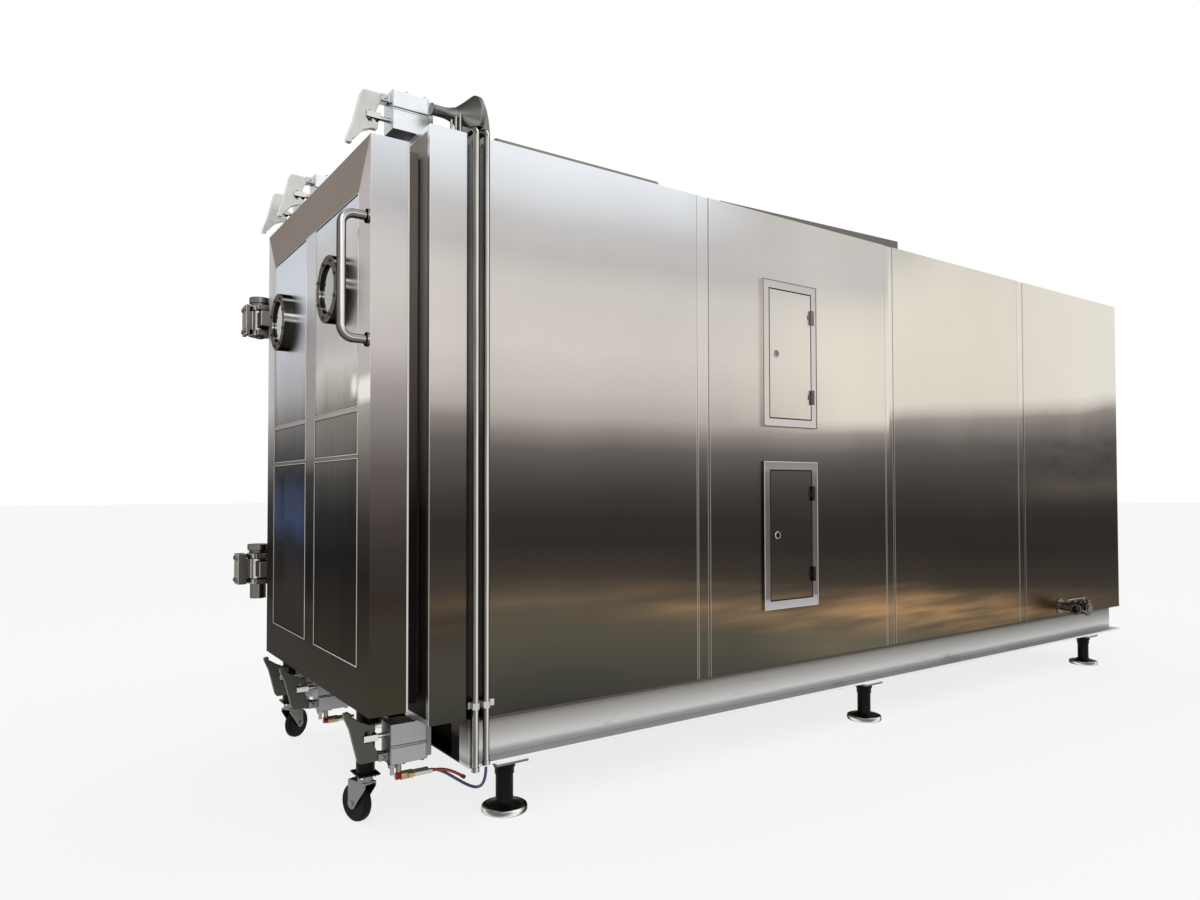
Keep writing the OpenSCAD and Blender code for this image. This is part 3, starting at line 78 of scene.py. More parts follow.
def spot(x: float, y: float, z: float) -> Vector:
    """A point given in millimetres from the body's own datum, in the shared frame.

    Args:
        x: Distance from the body's middle.
        y: Distance from the front edge of the side panels.
        z: Height above the floor.

    Returns:
        The same point in metres.
    """
    return Vector((x * MM - SHIFT_X, y * MM - SHIFT_Y, z * MM))


class Expr:
    """A number on a shader's socket, with the arithmetic that the finishes use."""

    def __init__(self, graph: "Graph", socket: Socket) -> None:
        """Wraps one output socket of a node tree."""
        self.graph = graph
        self.socket = socket

    def _math(self, operation: str, *others: "Expr | float", clamp: bool = False) -> "Expr":
        """Adds a Math node that takes this number first, and returns its result."""
        return self.graph.math(operation, self, *others, clamp=clamp)

    def __add__(self, other: "Expr | float") -> "Expr":
        """This number plus another."""
        return self._math("ADD", other)

    def __mul__(self, other: "Expr | float") -> "Expr":
        """This number times another."""
        return self._math("MULTIPLY", other)

    def __sub__(self, other: "Expr | float") -> "Expr":
        """This number less another."""
        return self._math("SUBTRACT", other)

    def __rsub__(self, other: float) -> "Expr":
        """Another number less this one."""
        return self.graph.math("SUBTRACT", other, self)

    def __truediv__(self, other: "Expr | float") -> "Expr":
        """This number over another."""
        return self._math("DIVIDE", other)

    def band(self, middle: float, half: float) -> "Expr":
        """A soft bump that is 1 at the middle and 0 beyond half a width from it.

        Args:
            middle: The value at the bump's top.
            half: The distance from there to its foot.

        Returns:
            The bump's height at this number.
        """
        distance = (self - middle)._math("ABSOLUTE")
        return self.graph.math("SUBTRACT", 1.0, distance / half, clamp=True)

    def about(self, middle: float, spread: float) -> "Expr":
        """A noise's value, moved to that middle and given that spread."""
        return (self - 0.5) * spread + middle

    def rise(self, low: float, high: float) -> "Expr":
        """How far this number lies from low to high, kept from 0 to 1."""
        return (self - low)._math("DIVIDE", high - low, clamp=True)


class Graph:
    """The node tree of a material or a world, emptied first."""

    def __init__(self, owner: Material | bpy.types.World) -> None:
        """Empties that owner's node tree."""
        owner.use_nodes = True
        self.tree = owner.node_tree
        self.tree.nodes.clear()

    def node(self, kind: str, settings: dict[str, object] | None = None,
             inputs: dict[str | int, object] | None = None) -> bpy.types.Node:
        """Adds a node.

        Args:
            kind: The node's type.
            settings: Its settings, which are set first; stops sets a ramp's stops.
            inputs: The values or links of its sockets.

        Returns:
            The new node.
        """
        made = self.tree.nodes.new(kind)
        for name, setting in (settings or {}).items():
            if name == "stops":
                self._set_stops(made.color_ramp, setting)
            else:
                setattr(made, name, setting)
        for name, given in (inputs or {}).items():
            self.feed(made.inputs[name], given)
        return made

    @staticmethod
    def _set_stops(ramp: bpy.types.ColorRamp, stops: Sequence[Stop]) -> None:
        """Gives a ramp its stops, each a place from 0 to 1 and a colour."""
        while len(ramp.elements) < len(stops):
            ramp.elements.new(1.0)
        for element, (place, colour) in zip(ramp.elements, stops):
            element.position = place
            element.color = (*colour, 1.0)

    def feed(self, socket: Socket, given: object) -> None:
        """Links a socket to an expression or another socket, or sets its value."""
        if isinstance(given, Expr):
            given = given.socket
        if isinstance(given, Socket):
            self.tree.links.new(given, socket)
        elif isinstance(given, tuple) and socket.type == "RGBA":
            socket.default_value = (*given, 1.0)
        else:
            socket.default_value = given

    def math(self, operation: str, *values: Expr | float, clamp: bool = False) -> Expr:
        """Adds a Math node and returns its result."""
        made = self.node("ShaderNodeMath", {"operation": operation, "use_clamp": clamp},
                         dict(enumerate(values)))
        return Expr(self, made.outputs[0])

    def close(self, output: str, low: Socket, high: Socket, share: Expr) -> None:
        """Mixes two shaders into the tree's output.

        Args:
            output: The output node's type.
            low: The shader at share 0.
            high: The shader at share 1.
            share: The share of the second.
        """
        mixed = self.node("ShaderNodeMixShader", {}, {0: share, 1: low, 2: high})
        self.node(output, {}, {0: mixed.outputs[0]})


class Shading(Graph):
    """One material's node tree, with a Principled shader on its output."""

    def __init__(self, name: str) -> None:
        """Starts a material of that name."""
        self.material = bpy.data.materials.new(name)
        super().__init__(self.material)
        self.shader = self.node("ShaderNodeBsdfPrincipled")
        self.node("ShaderNodeOutputMaterial", {}, {0: self.shader.outputs[0]})

    def place(self) -> Socket:
        """The point on the piece, in the shared frame."""
        return self.node("ShaderNodeTexCoord").outputs["Object"]

    def parts(self, vector: Socket) -> list[Expr]:
        """A vector's X, Y and Z."""
        made = self.node("ShaderNodeSeparateXYZ", {}, {0: vector})
        return [Expr(self, socket) for socket in made.outputs]

    def axes(self) -> tuple[Expr, Expr, Expr]:
        """The point's X, Y and Z from the body's datum."""
        x, y, z = self.parts(self.place())
        return x + SHIFT_X, y + SHIFT_Y, z

    def normal(self) -> Socket:
        """The way that the face looks."""
        return self.node("ShaderNodeNewGeometry").outputs["Normal"]

    def noise(self, scale: float, detail: float = 2.0, rough: float = 0.5,
              stretch: Point = (1, 1, 1)) -> Expr:
        """A noise over the piece.

        Args:
            scale: How many features there are in a metre.
            detail: The noise's detail.
            rough: The noise's roughness.
            stretch: How many times finer it is along each axis.

        Returns:
            A number round 0.5.
        """
        mapped = self.node("ShaderNodeMapping", {}, {"Vector": self.place(), "Scale": stretch})
        inputs = {"Vector": mapped.outputs[0], "Scale": scale, "Detail": detail, "Roughness": rough}
        return Expr(self, self.node("ShaderNodeTexNoise", {}, inputs).outputs["Fac"])

    def ramp(self, factor: Expr, row: Sequence[Stop]) -> Socket:
        """The colour that a row of display tones gives at a factor from 0 to 1."""
        stops = [(place, tone(*colour)) for place, colour in row]
        return self.node("ShaderNodeValToRGB", {"stops": stops}, {0: factor}).outputs[0]

    def climb(self, height: Expr, row: Sequence[Stop], low: float, high: float,
              unit: float = MM) -> Socket:
        """The colour that a row of display tones gives at a height.

        Args:
            height: The height.
            row: The heights and their tones.
            low: The height where the ramp starts.
            high: The height where it ends.
            unit: What the row, low and high are counted in, in metres.

        Returns:
            The colour there.
        """
        placed = [((place - low) / (high - low), colour) for place, colour in row]
        return self.ramp(height.rise(low * unit, high * unit), placed)

    def blend(self, low: object, high: object, factor: Expr | float, mode: str = "MIX") -> Socket:
        """Mixes two colours.

        Args:
            low: The colour at factor 0.
            high: The colour at factor 1.
            factor: The share of the second.
            mode: The mix's blend type.

        Returns:
            The mixed colour.
        """
        made = self.node("ShaderNodeMix", {"data_type": "RGBA", "blend_type": mode})
        self.feed(made.inputs[0], factor)
        self.feed(made.inputs[6], low)
        self.feed(made.inputs[7], high)
        return made.outputs[2]

    def coats(self, base: object, *coats: tuple[Colour, Expr]) -> Socket:
        """Lays display tones over a colour.

        Args:
            base: The colour below.
            coats: Each coat's tone, and its share from 0 to 1.

        Returns:
            The colour with every coat.
        """
        for colour, share in coats:
            base = self.blend(base, tone(*colour), share)
        return base

    def mottled(self, base: object, level: Expr) -> Socket:
        """A colour multiplied by a level."""
        grey = self.node("ShaderNodeCombineColor", {}, {0: level, 1: level, 2: level}).outputs[0]
        return self.blend(base, grey, 1.0, "MULTIPLY")

    def bump(self, height: Expr, strength: float, distance: float) -> Socket:
        """The normal that a height gives."""
        inputs = {"Strength": strength, "Distance": distance, "Height": height}
        return self.node("ShaderNodeBump", {}, inputs).outputs[0]

    def dress(self, **sockets: object) -> Material:
        """Feeds the shader's sockets, named with _ for each space, and returns the material."""
        for name, given in sockets.items():
            self.feed(self.shader.inputs[name.replace("_", " ")], given)
        return self.material


@dataclass(frozen=True)
class Finish:
    """A finish, which paints one material's node tree."""

    name: str

    def make(self) -> Material:
        """Makes the material."""
        LOG.info("finish %s", self.name)
        return self.paint(Shading(self.name))

    def paint(self, s: Shading) -> Material:
        """Feeds the shader of that node tree, and returns its material."""
        raise NotImplementedError


class Grain(Enum):
    """The way that a sheet's brushing runs, as how fine it is along X, Y and Z."""

    ALONG_Y = (40.0, 1.0, 160.0)
    ALONG_Z = (120.0, 120.0, 1.0)


# Painted reflection of the workshop up a clad face, by the height from eye level over the face's reach
ROOM_REFLECTION: tuple[Stop, ...] = (
    (-0.92, (60, 58, 53)), (-0.78, (72, 71, 63)), (-0.60, (89, 84, 72)), (-0.47, (88, 79, 68)),
    (-0.33, (64, 57, 50)), (-0.22, (51, 47, 44)), (-0.12, (52, 49, 47)), (-0.02, (66, 62, 58)),
    (0.08, (83, 79, 75)), (0.17, (103, 98, 94)), (0.24, (140, 132, 126)), (0.31, (180, 171, 163)),
    (0.42, (199, 192, 184)), (0.60, (213, 206, 198)), (0.86, (208, 203, 196)), (0.99, (192, 188, 185)),
    (1.12, (198, 196, 196)), (1.24, (219, 221, 224)), (1.38, (236, 240, 244)),
)
# The eye's height, from which the painted reflection's heights are counted
EYE_LEVEL = 1.312
# How far the painted reflection's tones wander up and down along a face
DRIFT = 0.08


def room_reflection(s: Shading, height: Expr) -> Socket:
    """The workshop's painted reflection up a clad face.

    Args:
        s: The material's node tree.
        height: The height from eye level, over the face's reach.

    Returns:
        The colour there.
    """
    return s.climb(height, ROOM_REFLECTION, ROOM_REFLECTION[0][0], ROOM_REFLECTION[-1][0], 1.0)


def brushing(s: Shading, grain: Grain, base: object, shade: float, roughness: float,
             relief: float = 0.10, metal: Expr | float = 1.0, edge: float = 0.5) -> Material:
    """Dresses a shader as brushed sheet of that base colour.

    Args:
        s: The material's node tree.
        grain: The way the brushing runs.
        base: The colour under the brushing.
        shade: What the colour is multiplied by.
        roughness: The middle of its roughness.
        relief: The strength of the sheet's unevenness.
        metal: How far it shines as bare metal.
        edge: How bright it stays where it is seen almost along its face.

    Returns:
        The finished material.
    """
    fine = s.noise(9.0, 3.0, 0.7, grain.value)
    cloud = s.noise(2.2, 4.0, 0.6)
    return s.dress(
        Base_Color=s.mottled(base, fine.about(0.0, 0.16) + cloud.about(shade, 0.12)), Metallic=metal,
        Specular_IOR_Level=0.0, Specular_Tint=(edge, edge, edge),
        Roughness=fine.about(0.0, 0.16) + cloud.about(roughness, 0.1),
        Normal=s.bump(fine * 0.4 + cloud, relief, 0.004))


@dataclass(frozen=True)
class BrushedSheet(Finish):
    """Brushed stainless sheet, with the workshop's painted reflection as graded tone, painted highlights on
    its beads and on the collar's lip, and painted shade in the channel.
    """

    shade: float = 1.0
    roughness: float = 0.34
    grain: Grain = Grain.ALONG_Y
    fan: float = 0.0
    warm_reflection: float = 0.25
    joints: tuple[float, ...] = ()
    joint_and_highlight_tone: Colour = (232, 230, 226)
    beads: tuple[float, ...] = ()
    channel: bool = False
    dip: float = 0.0

    def paint(self, s: Shading) -> Material:
        """Paints the finish."""
        _, y, z = s.axes()
        run = y - 0.3
        height = z - EYE_LEVEL
        if self.fan:
            low = s.math("MAXIMUM", run * self.fan + 1.0, 1.0)
            far = s.math("MAXIMUM", run - 2.3, 0.0)
            high = s.math("MAXIMUM", run * 0.06 + 1.0, 1.0) + run.rise(2.27, 2.28) * 0.25 + far * 0.24
            height = height / (low + (high - low) * height.rise(-0.0001, 0.0001))
        drift = s.noise(0.9, stretch=(1, 1, 0.35)).about(0.0, DRIFT)
        height = height + drift - height.band(0.28, 0.25) * self.dip
        base = room_reflection(s, height)
        # A dark band of painted reflection where the tones dip
        if self.dip:
            base = s.coats(base, ((62, 56, 49), height.band(-0.5, 0.32)))
        glow = height.band(-0.47, 0.11)
        if self.fan:
            reach = run.rise(0.2, 2.4) * (1.0 - run.rise(2.5, 3.5) * 0.4 - run.rise(3.5, 4.8) * 0.45)
            glow = glow * (reach + 0.12)
            base = self._reflections(s, base, height, run)
        # Streaks of a warm painted reflection round the glow's band
        streak = s.noise(1.1, stretch=(1, 1, 12))
        base = s.coats(
            base, ((214, 170, 118), glow * streak.rise(0.28, 0.72) * self.warm_reflection),
            # Painted highlights along the beads
            *(((238, 236, 232), y.band(place * MM, 0.004) * 0.3) for place in self.beads),
            # Joint lines: dark on the sides, and a painted highlight along the collar's lip
            *((self.joint_and_highlight_tone, y.band(place * MM, 0.0035) * 0.75) for place in self.joints))
        # Painted shade in the channel behind the collar
        if self.channel:
            base = s.coats(base, ((54, 49, 46), y.rise(-0.0975, -0.094) * 0.8))
        return brushing(s, self.grain, base, self.shade, self.roughness)

    @staticmethod
    def _reflections(s: Shading, base: object, height: Expr, run: Expr) -> Socket:
        """Lays the soft light zones and columns and the dark skyline over a side's tones.

        Args:
            s: The material's node tree.
            base: The tones up the side.
            height: The height from eye level, over the face's reach.
            run: The distance along the side from near its front.

        Returns:
            The colour with all of them.
        """
        columns = s.noise(1.1, stretch=(0, 1, 0.12))
        warm = height.rise(0.27, 0.34) * (1.0 - height.rise(0.75, 1.05) * 0.8) * run.rise(1.0, 1.9)
        under = height.band(-0.60, 0.13) * run.rise(1.1, 1.7) * (1.0 - run.rise(2.4, 2.9))
        haze = (height * (run * 0.22 + 1.0)).band(0.02, 0.14) * run.rise(3.4, 4.2)
        blocks = s.noise(2.6, 3.0, 0.62, (0, 1, 3.5)).rise(0.44, 0.6)
        return s.coats(
            base, ((196, 192, 189), height.rise(0.98, 1.14) * run.rise(0.7, 1.3)),
            ((246, 242, 236), columns.rise(0.48, 0.66) * height.rise(0.12, 0.5) * run.rise(0.6, 2.6) * 0.25),
            ((238, 231, 216), warm * 0.8), ((255, 250, 240), warm * run.rise(3.2, 5.1) * 0.8),
            ((112, 105, 88), under * 0.9), ((100, 92, 82), haze * 0.75),
            ((58, 58, 60), height.band(0.10, 0.13) * blocks * run.rise(2.6, 4.6) * 0.45))


# Painted reflection tones up the door's front border, by height in millimetres
DOOR_FRONT_REFLECTION: tuple[Stop, ...] = (
    (467, (68, 64, 57)), (620, (62, 57, 50)), (800, (51, 43, 35)), (1000, (34, 30, 27)),
    (1200, (56, 51, 47)), (1300, (82, 76, 71)), (1450, (120, 113, 107)), (1600, (160, 152, 145)),
    (1700, (193, 187, 182)), (2000, (205, 199, 196)), (2459, (196, 190, 188)), (2645, (176, 170, 167)),
)
# Painted reflection tones up the door's sides
DOOR_SIDES_REFLECTION: tuple[Stop, ...] = (
    (467, (64, 59, 48)), (700, (57, 57, 48)), (800, (62, 57, 47)), (900, (55, 48, 42)),
    (1100, (60, 55, 53)), (1200, (72, 64, 62)), (1400, (98, 90, 86)), (1600, (140, 135, 132)),
    (1700, (160, 151, 148)), (1850, (195, 188, 186)), (2050, (206, 200, 195)), (2250, (203, 199, 196)),
    (2400, (187, 184, 185)), (2550, (204, 208, 211)), (2645, (218, 223, 230)),
)
# Painted reflection tones up the strip between the infills
DOOR_MIDDLE_REFLECTION: tuple[Stop, ...] = (
    (467, (58, 54, 50)), (700, (54, 46, 38)), (800, (52, 46, 38)), (900, (31, 25, 22)),
    (1000, (25, 22, 21)), (1200, (39, 38, 40)), (1300, (49, 49, 51)), (1400, (66, 61, 63)),
    (1500, (140, 132, 127)), (1850, (164, 160, 156)), (2050, (170, 167, 166)), (2180, (210, 211, 216)),
    (2459, (208, 210, 214)),
)


@dataclass(frozen=True)
class DoorSheet(Finish):
    """The door's front sheet: a painted reflection, light on the upper half and dark on the lower half, and a
    duller top border in painted shade.

    Its borders end at side from the middle and at foot and top in height, and strip is half as wide as
    the strip between the infills. All are in metres.
    """

    name: str = "door_sheet"
    side: float = 0.647
    foot: float = 0.631
    top: float = 2.459
    strip: float = 0.070

    def paint(self, s: Shading) -> Material:
        """Paints the finish."""
        x, y, z = s.axes()
        drifted = z + s.noise(1.2, stretch=(1, 1, 0.5)).about(0.0, 0.16)
        front, middle, side = (s.climb(drifted, row, 467, 2645)
                               for row in (DOOR_FRONT_REFLECTION, DOOR_MIDDLE_REFLECTION, DOOR_SIDES_REFLECTION))
        across = s.math("ABSOLUTE", x)
        inner = ((1.0 - across.rise(self.strip - 0.002, self.strip))
                 * (1.0 - z.rise(self.top - 0.001, self.top)) * z.rise(0.60, 0.66))
        # A bluish painted reflection down the left edge
        left = 1.0 - x.rise(-0.747, -0.627)
        # A painted highlight by the near clamp
        lit_patch = s.math("MINIMUM", z.band(1.69, 0.06) * x.rise(0.62, 0.68) * 2.0, 1.0)
        # Painted shade on the top border
        past = s.math("MAXIMUM", across - self.side, 0.0)
        top = (z - past * 1.378).rise(self.top - 0.0002, self.top + 0.0002)
        # Dark lines along the mitres of the lower corners, in painted shade
        mitre = ((across - self.side) - (self.foot - z) * 0.82).band(0.0, 0.0022)
        mitre = mitre * (1.0 - z.rise(self.foot - 0.003, self.foot))
        front = s.coats(
            s.blend(front, middle, inner), ((214, 216, 222), left * z.rise(1.55, 1.95) * 0.8),
            ((250, 245, 238), lit_patch), ((145, 135, 127), top), ((22, 20, 18), mitre * 0.8))
        face = 1.0 - y.rise(-0.4645, -0.4625)
        # Less metal where the painted reflection is dark, and on the top border's painted shade
        dark = (1.0 - z.rise(1.35, 1.75)) + top
        return brushing(s, Grain.ALONG_Z, s.blend(side, front, face), 1.0, 0.36,
                        metal=1.0 - dark * face * 0.88, edge=0.7)


# Painted reflection tones up the right infills, by height in millimetres
INFILL_RIGHT_REFLECTION: tuple[Stop, ...] = (
    (600, (52, 46, 38)), (720, (48, 41, 32)), (900, (34, 29, 25)), (1030, (23, 22, 22)),
    (1200, (40, 39, 38)), (1330, (74, 72, 69)), (1420, (99, 95, 90)), (1620, (132, 126, 117)),
    (1720, (184, 178, 170)), (1810, (214, 208, 202)), (1930, (192, 187, 184)), (2020, (196, 191, 188)),
    (2300, (208, 203, 201)), (2500, (206, 203, 204)),
)
# Painted reflection tones up the left infills
INFILL_LEFT_REFLECTION: tuple[Stop, ...] = (
    (600, (50, 45, 38)), (900, (53, 48, 44)), (1060, (38, 40, 48)), (1180, (60, 72, 102)),
    (1300, (58, 66, 90)), (1390, (48, 48, 52)), (1500, (66, 64, 63)), (1640, (112, 109, 108)),
    (1800, (176, 174, 178)), (2000, (204, 206, 214)), (2200, (220, 224, 233)), (2500, (228, 232, 240)),
)


@dataclass(frozen=True)
class InfillSheet(Finish):
    """The door's infill sheets, with a painted reflection: a bright upper row, a dark lower row and a blue
    cast on the left.
    """

    name: str = "infill_sheet"

    def paint(self, s: Shading) -> Material:
        """Paints the finish."""
        x, _, z = s.axes()
        drifted = z + s.noise(1.5, stretch=(2.5, 1, 0.4)).about(0.0, 0.22)
        base = s.blend(s.climb(drifted, INFILL_LEFT_REFLECTION, 600, 2500), s.climb(drifted, INFILL_RIGHT_REFLECTION, 600, 2500),
                       x.rise(-0.01, 0.01))
        # A painted highlight near the right border
        lit_patch = s.math("MINIMUM", z.band(1.715, 0.055) * x.band(0.6, 0.05) * 2.0, 1.0)
        # Light and dark columns of painted reflection, under a bluish painted reflection along the top
        columns = s.noise(1.0, 3.0, 0.6, (9, 0, 0.6))
        base = s.coats(
            base, ((216, 224, 235), z.rise(2.30, 2.44) * 0.85), ((248, 244, 236), lit_patch),
            ((236, 232, 228), columns.rise(0.55, 0.75) * z.rise(1.6, 1.8) * 0.45),
            ((20, 19, 19), columns.rise(0.5, 0.3) * z.rise(1.7, 1.3) * 0.35))
        return brushing(s, Grain.ALONG_Z, base, 1.0, 0.30,
                        metal=z.rise(1.35, 1.75) * 0.88 + 0.12, edge=0.7)


# Painted reflection tones up the hatch frames, by height in millimetres
FRAME_REFLECTION: tuple[Stop, ...] = (
    (700, (186, 183, 185)), (744, (172, 169, 170)), (760, (120, 116, 112)), (1000, (96, 92, 89)),
    (1250, (100, 98, 94)), (1390, (122, 121, 117)), (1410, (146, 145, 141)), (1460, (134, 132, 128)),
    (1600, (204, 197, 195)), (1800, (212, 205, 201)), (2100, (212, 205, 200)), (2380, (196, 190, 188)),
)


@dataclass(frozen=True)
class FrameSheet(Finish):
    """The hatch frames' bright pressed strip, with a painted reflection that makes it lighter than the side
    behind it.
    """

    name: str = "frame_sheet"

    def paint(self, s: Shading) -> Material:
        """Paints the finish."""
        _, _, z = s.axes()
        return brushing(s, Grain.ALONG_Z, s.climb(z, FRAME_REFLECTION, 700, 2400), 1.0, 0.32, edge=0.7)


@dataclass(frozen=True)
class ShadedSteel(Finish):
    """Steel in the gap behind the door, with painted shade that goes from mid grey at the top to near black
    below.
    """

    high_tone: Colour
    low_tone: Colour

    def paint(self, s: Shading) -> Material:
        """Paints the finish."""
        _, _, z = s.axes()
        cloud = s.noise(5.0, 3.0, stretch=(1, 1, 0.3))
        stops = ((0.0, self.low_tone), (0.45, self.low_tone), (1.0, self.high_tone))
        base = s.ramp(z.rise(0.4, 2.2), stops)
        return s.dress(Base_Color=s.mottled(base, cloud.about(1.0, 0.3)), Metallic=0.3,
                       Specular_IOR_Level=0.0, Roughness=cloud.about(0.45, 0.2),
                       Normal=s.bump(cloud, 0.05, 0.002))


# Painted light and shade up the beams' outer faces, by height in millimetres: a highlight on the lower
# flange's edge and shade under the panels at the top
BEAM_WEB_LIGHT_AND_SHADE: tuple[Stop, ...] = (
    (205, (112, 112, 110)), (215, (132, 132, 130)), (216.5, (246, 246, 245)), (236, (247, 247, 246)),
    (237.5, (186, 187, 187)), (250, (190, 190, 190)), (270, (222, 222, 222)), (300, (196, 196, 194)),
    (330, (176, 174, 170)), (360, (154, 151, 146)), (385, (106, 102, 95)), (402.5, (100, 95, 88)),
    (403.5, (86, 82, 77)), (414, (92, 88, 82)),
)
# Painted light and shade up the beams' inner faces, dark inside the section, from 0 at 200 mm to 1 at 420 mm
BEAM_INSIDE_LIGHT_AND_SHADE: tuple[Stop, ...] = (
    (0.0, (200, 200, 198)), (0.12, (190, 189, 187)), (0.13, (22, 21, 20)), (0.55, (24, 23, 22)),
    (0.70, (84, 79, 75)), (1.0, (104, 99, 94)),
)


@dataclass(frozen=True)
class BeamSteel(Finish):
    """Bare rolled sections: a satin web between a painted highlight on the lower edge and painted shade along
    the upper one.
    """

    name: str = "beam_steel"
    web: float = 0.755

    def paint(self, s: Shading) -> Material:
        """Paints the finish."""
        x, y, z = s.axes()
        inner = 1.0 - s.math("ABSOLUTE", x).rise(self.web - 0.006, self.web - 0.004)
        base = s.blend(s.climb(z, BEAM_WEB_LIGHT_AND_SHADE, 200, 420), s.ramp(z.rise(0.200, 0.420), BEAM_INSIDE_LIGHT_AND_SHADE),
                       inner * y.rise(-0.19, -0.18))
        scuff = s.noise(5.0, 5.0, 0.7, (1, 0.4, 3))
        base = s.coats(base, ((92, 86, 78), scuff.rise(0.62, 0.74) * 0.35))
        return brushing(s, Grain.ALONG_Y, base, 1.0, 0.42, 0.16)


# Painted reflection bands round a curved bright piece, by how far it faces the light, from 0 to 1
CHROME_BANDS: tuple[Stop, ...] = (
    (0.0, (62, 60, 57)), (0.22, (92, 89, 85)), (0.36, (58, 55, 51)), (0.48, (112, 108, 104)),
    (0.60, (74, 70, 66)), (0.70, (132, 128, 124)), (0.80, (232, 230, 227)), (0.89, (206, 203, 200)),
    (0.95, (118, 114, 110)), (1.0, (96, 92, 88)),
)
# Painted reflection round the sight glass rings, with a painted highlight line on their sides
RING_BANDS: tuple[Stop, ...] = (
    (0.0, (50, 47, 43)), (0.42, (58, 55, 50)), (0.455, (238, 234, 228)), (0.48, (134, 127, 119)),
    (0.52, (134, 127, 119)), (0.545, (238, 234, 228)), (0.58, (64, 60, 55)), (0.80, (58, 54, 49)),
    (0.84, (238, 235, 230)), (0.87, (58, 54, 49)),
)
# Painted reflection along the door handle's tube
HANDLE_BANDS: tuple[Stop, ...] = (
    (0.0, (46, 44, 41)), (0.40, (58, 55, 51)), (0.62, (78, 74, 70)), (0.76, (112, 107, 102)),
    (0.87, (104, 100, 96)), (0.92, (168, 164, 160)), (0.955, (236, 234, 231)), (0.98, (150, 146, 141)),
)
# Painted light and shade round the castings
CASTING_BANDS: tuple[Stop, ...] = (
    (0.0, (60, 59, 54)), (0.30, (92, 90, 84)), (0.46, (104, 101, 95)), (0.56, (142, 139, 132)),
    (0.66, (118, 115, 108)), (0.78, (206, 203, 196)), (0.84, (232, 229, 222)), (0.88, (172, 168, 160)),
    (0.93, (186, 182, 174)), (1.0, (128, 125, 118)),
)


@dataclass(frozen=True)
class Chrome(Finish):
    """Polished tube and ring, with the dark and bright bands that a curved mirror shows as painted
    reflection; castings take painted light and shade the same way.
    """

    light: float = 1.0
    facing: Point = (0.62, -0.62, 0.30)
    bands: tuple[Stop, ...] = CHROME_BANDS
    roughness: float = 0.2

    def paint(self, s: Shading) -> Material:
        """Paints the finish."""
        turn = s.node("ShaderNodeVectorMath", {"operation": "DOT_PRODUCT"}, {0: s.normal(), 1: self.facing})
        factor = Expr(s, turn.outputs["Value"]) * 0.54 + s.noise(5.0).about(0.5, 0.05)
        stops = [(place, tuple(part * self.light for part in colour)) for place, colour in self.bands]
        fine = s.noise(40.0, 3.0)
        return s.dress(Base_Color=s.ramp(factor, stops), Metallic=1.0, Specular_Tint=(0.3, 0.3, 0.3),
                       Roughness=fine.about(self.roughness, 0.1),
                       Normal=s.bump(fine, self.roughness * 0.15, 0.001))


@dataclass(frozen=True)
class ClampBlock(Finish):
    """An anodised cylinder block, with a seam that has a painted highlight, painted shade on its end faces
    and downward faces, and the fine grooves of its upper half darkened as painted shade.
    """

    colour: Colour
    seam: float
    groove: float
    underside: float

    def paint(self, s: Shading) -> Material:
        """Paints the finish."""
        _, y, z = s.axes()
        wave = s.math("SINE", (y - SHIFT_Y) * 2 * math.pi / 0.009)
        # The grooves above the seam, darkened as painted shade and cut into the relief
        cut = wave.rise(0.2, 0.9) * z.rise(self.seam, self.seam + 0.003) * self.groove
        rear, front = y.rise(-0.2005, -0.1985), 1.0 - y.rise(-0.3405, -0.3385)
        # The downward faces, which take painted shade
        under = 1.0 - s.parts(s.normal())[2].rise(-0.9, -0.5)
        base = s.coats(
            tone(*self.colour), (self._share(0.72), cut),
            (self._share(0.30), z.band(self.seam - 0.007, 0.0025) * 0.9),
            (self._share(0.16), z.band(self.seam + 0.003, 0.0025) * 0.9),
            # A painted highlight along the seam
            (self._share(1.4), z.band(self.seam - 0.002, 0.004) * 0.8),
            # Painted shade on the end faces and on the downward faces
            (self._share(0.8), (rear + front) * 0.9), (self._share(self.underside), under))
        fine = s.noise(30.0, 4.0)
        return s.dress(Base_Color=s.mottled(base, fine.about(1.0, 0.14)), Metallic=0.9,
                       Roughness=fine.about(0.36, 0.2), Normal=s.bump(fine - cut * 2, 0.06, 0.002))

    def _share(self, share: float) -> Colour:
        """The block's colour made darker or lighter."""
        return tuple(min(255.0, part * share) for part in self.colour)


@dataclass(frozen=True)
class FittingMetal(Finish):
    """A pipe fitting: a red ring at its low end, then brass, then plated ends."""

    name: str = "fitting_metal"

    def paint(self, s: Shading) -> Material:
        """Paints the finish."""
        _, y, z = s.axes()
        ribs = s.math("SINE", y * 2 * math.pi / 0.006)
        fine = s.noise(60.0, 3.0)
        base = s.coats(
            tone(138, 26, 26), ((186, 168, 128), y.rise(-0.2935, -0.2925)),
            ((206, 203, 196), y.rise(-0.2455, -0.2445)), ((150, 148, 145), z.rise(0.2095, 0.2105)),
            ((70, 58, 40), ribs.rise(0.5, 1.0) * 0.3))
        return s.dress(Base_Color=base, Metallic=0.85, Roughness=fine.about(0.3, 0.2),
                       Normal=s.bump(ribs * 0.3 + fine * 0.3, 0.15, 0.001))


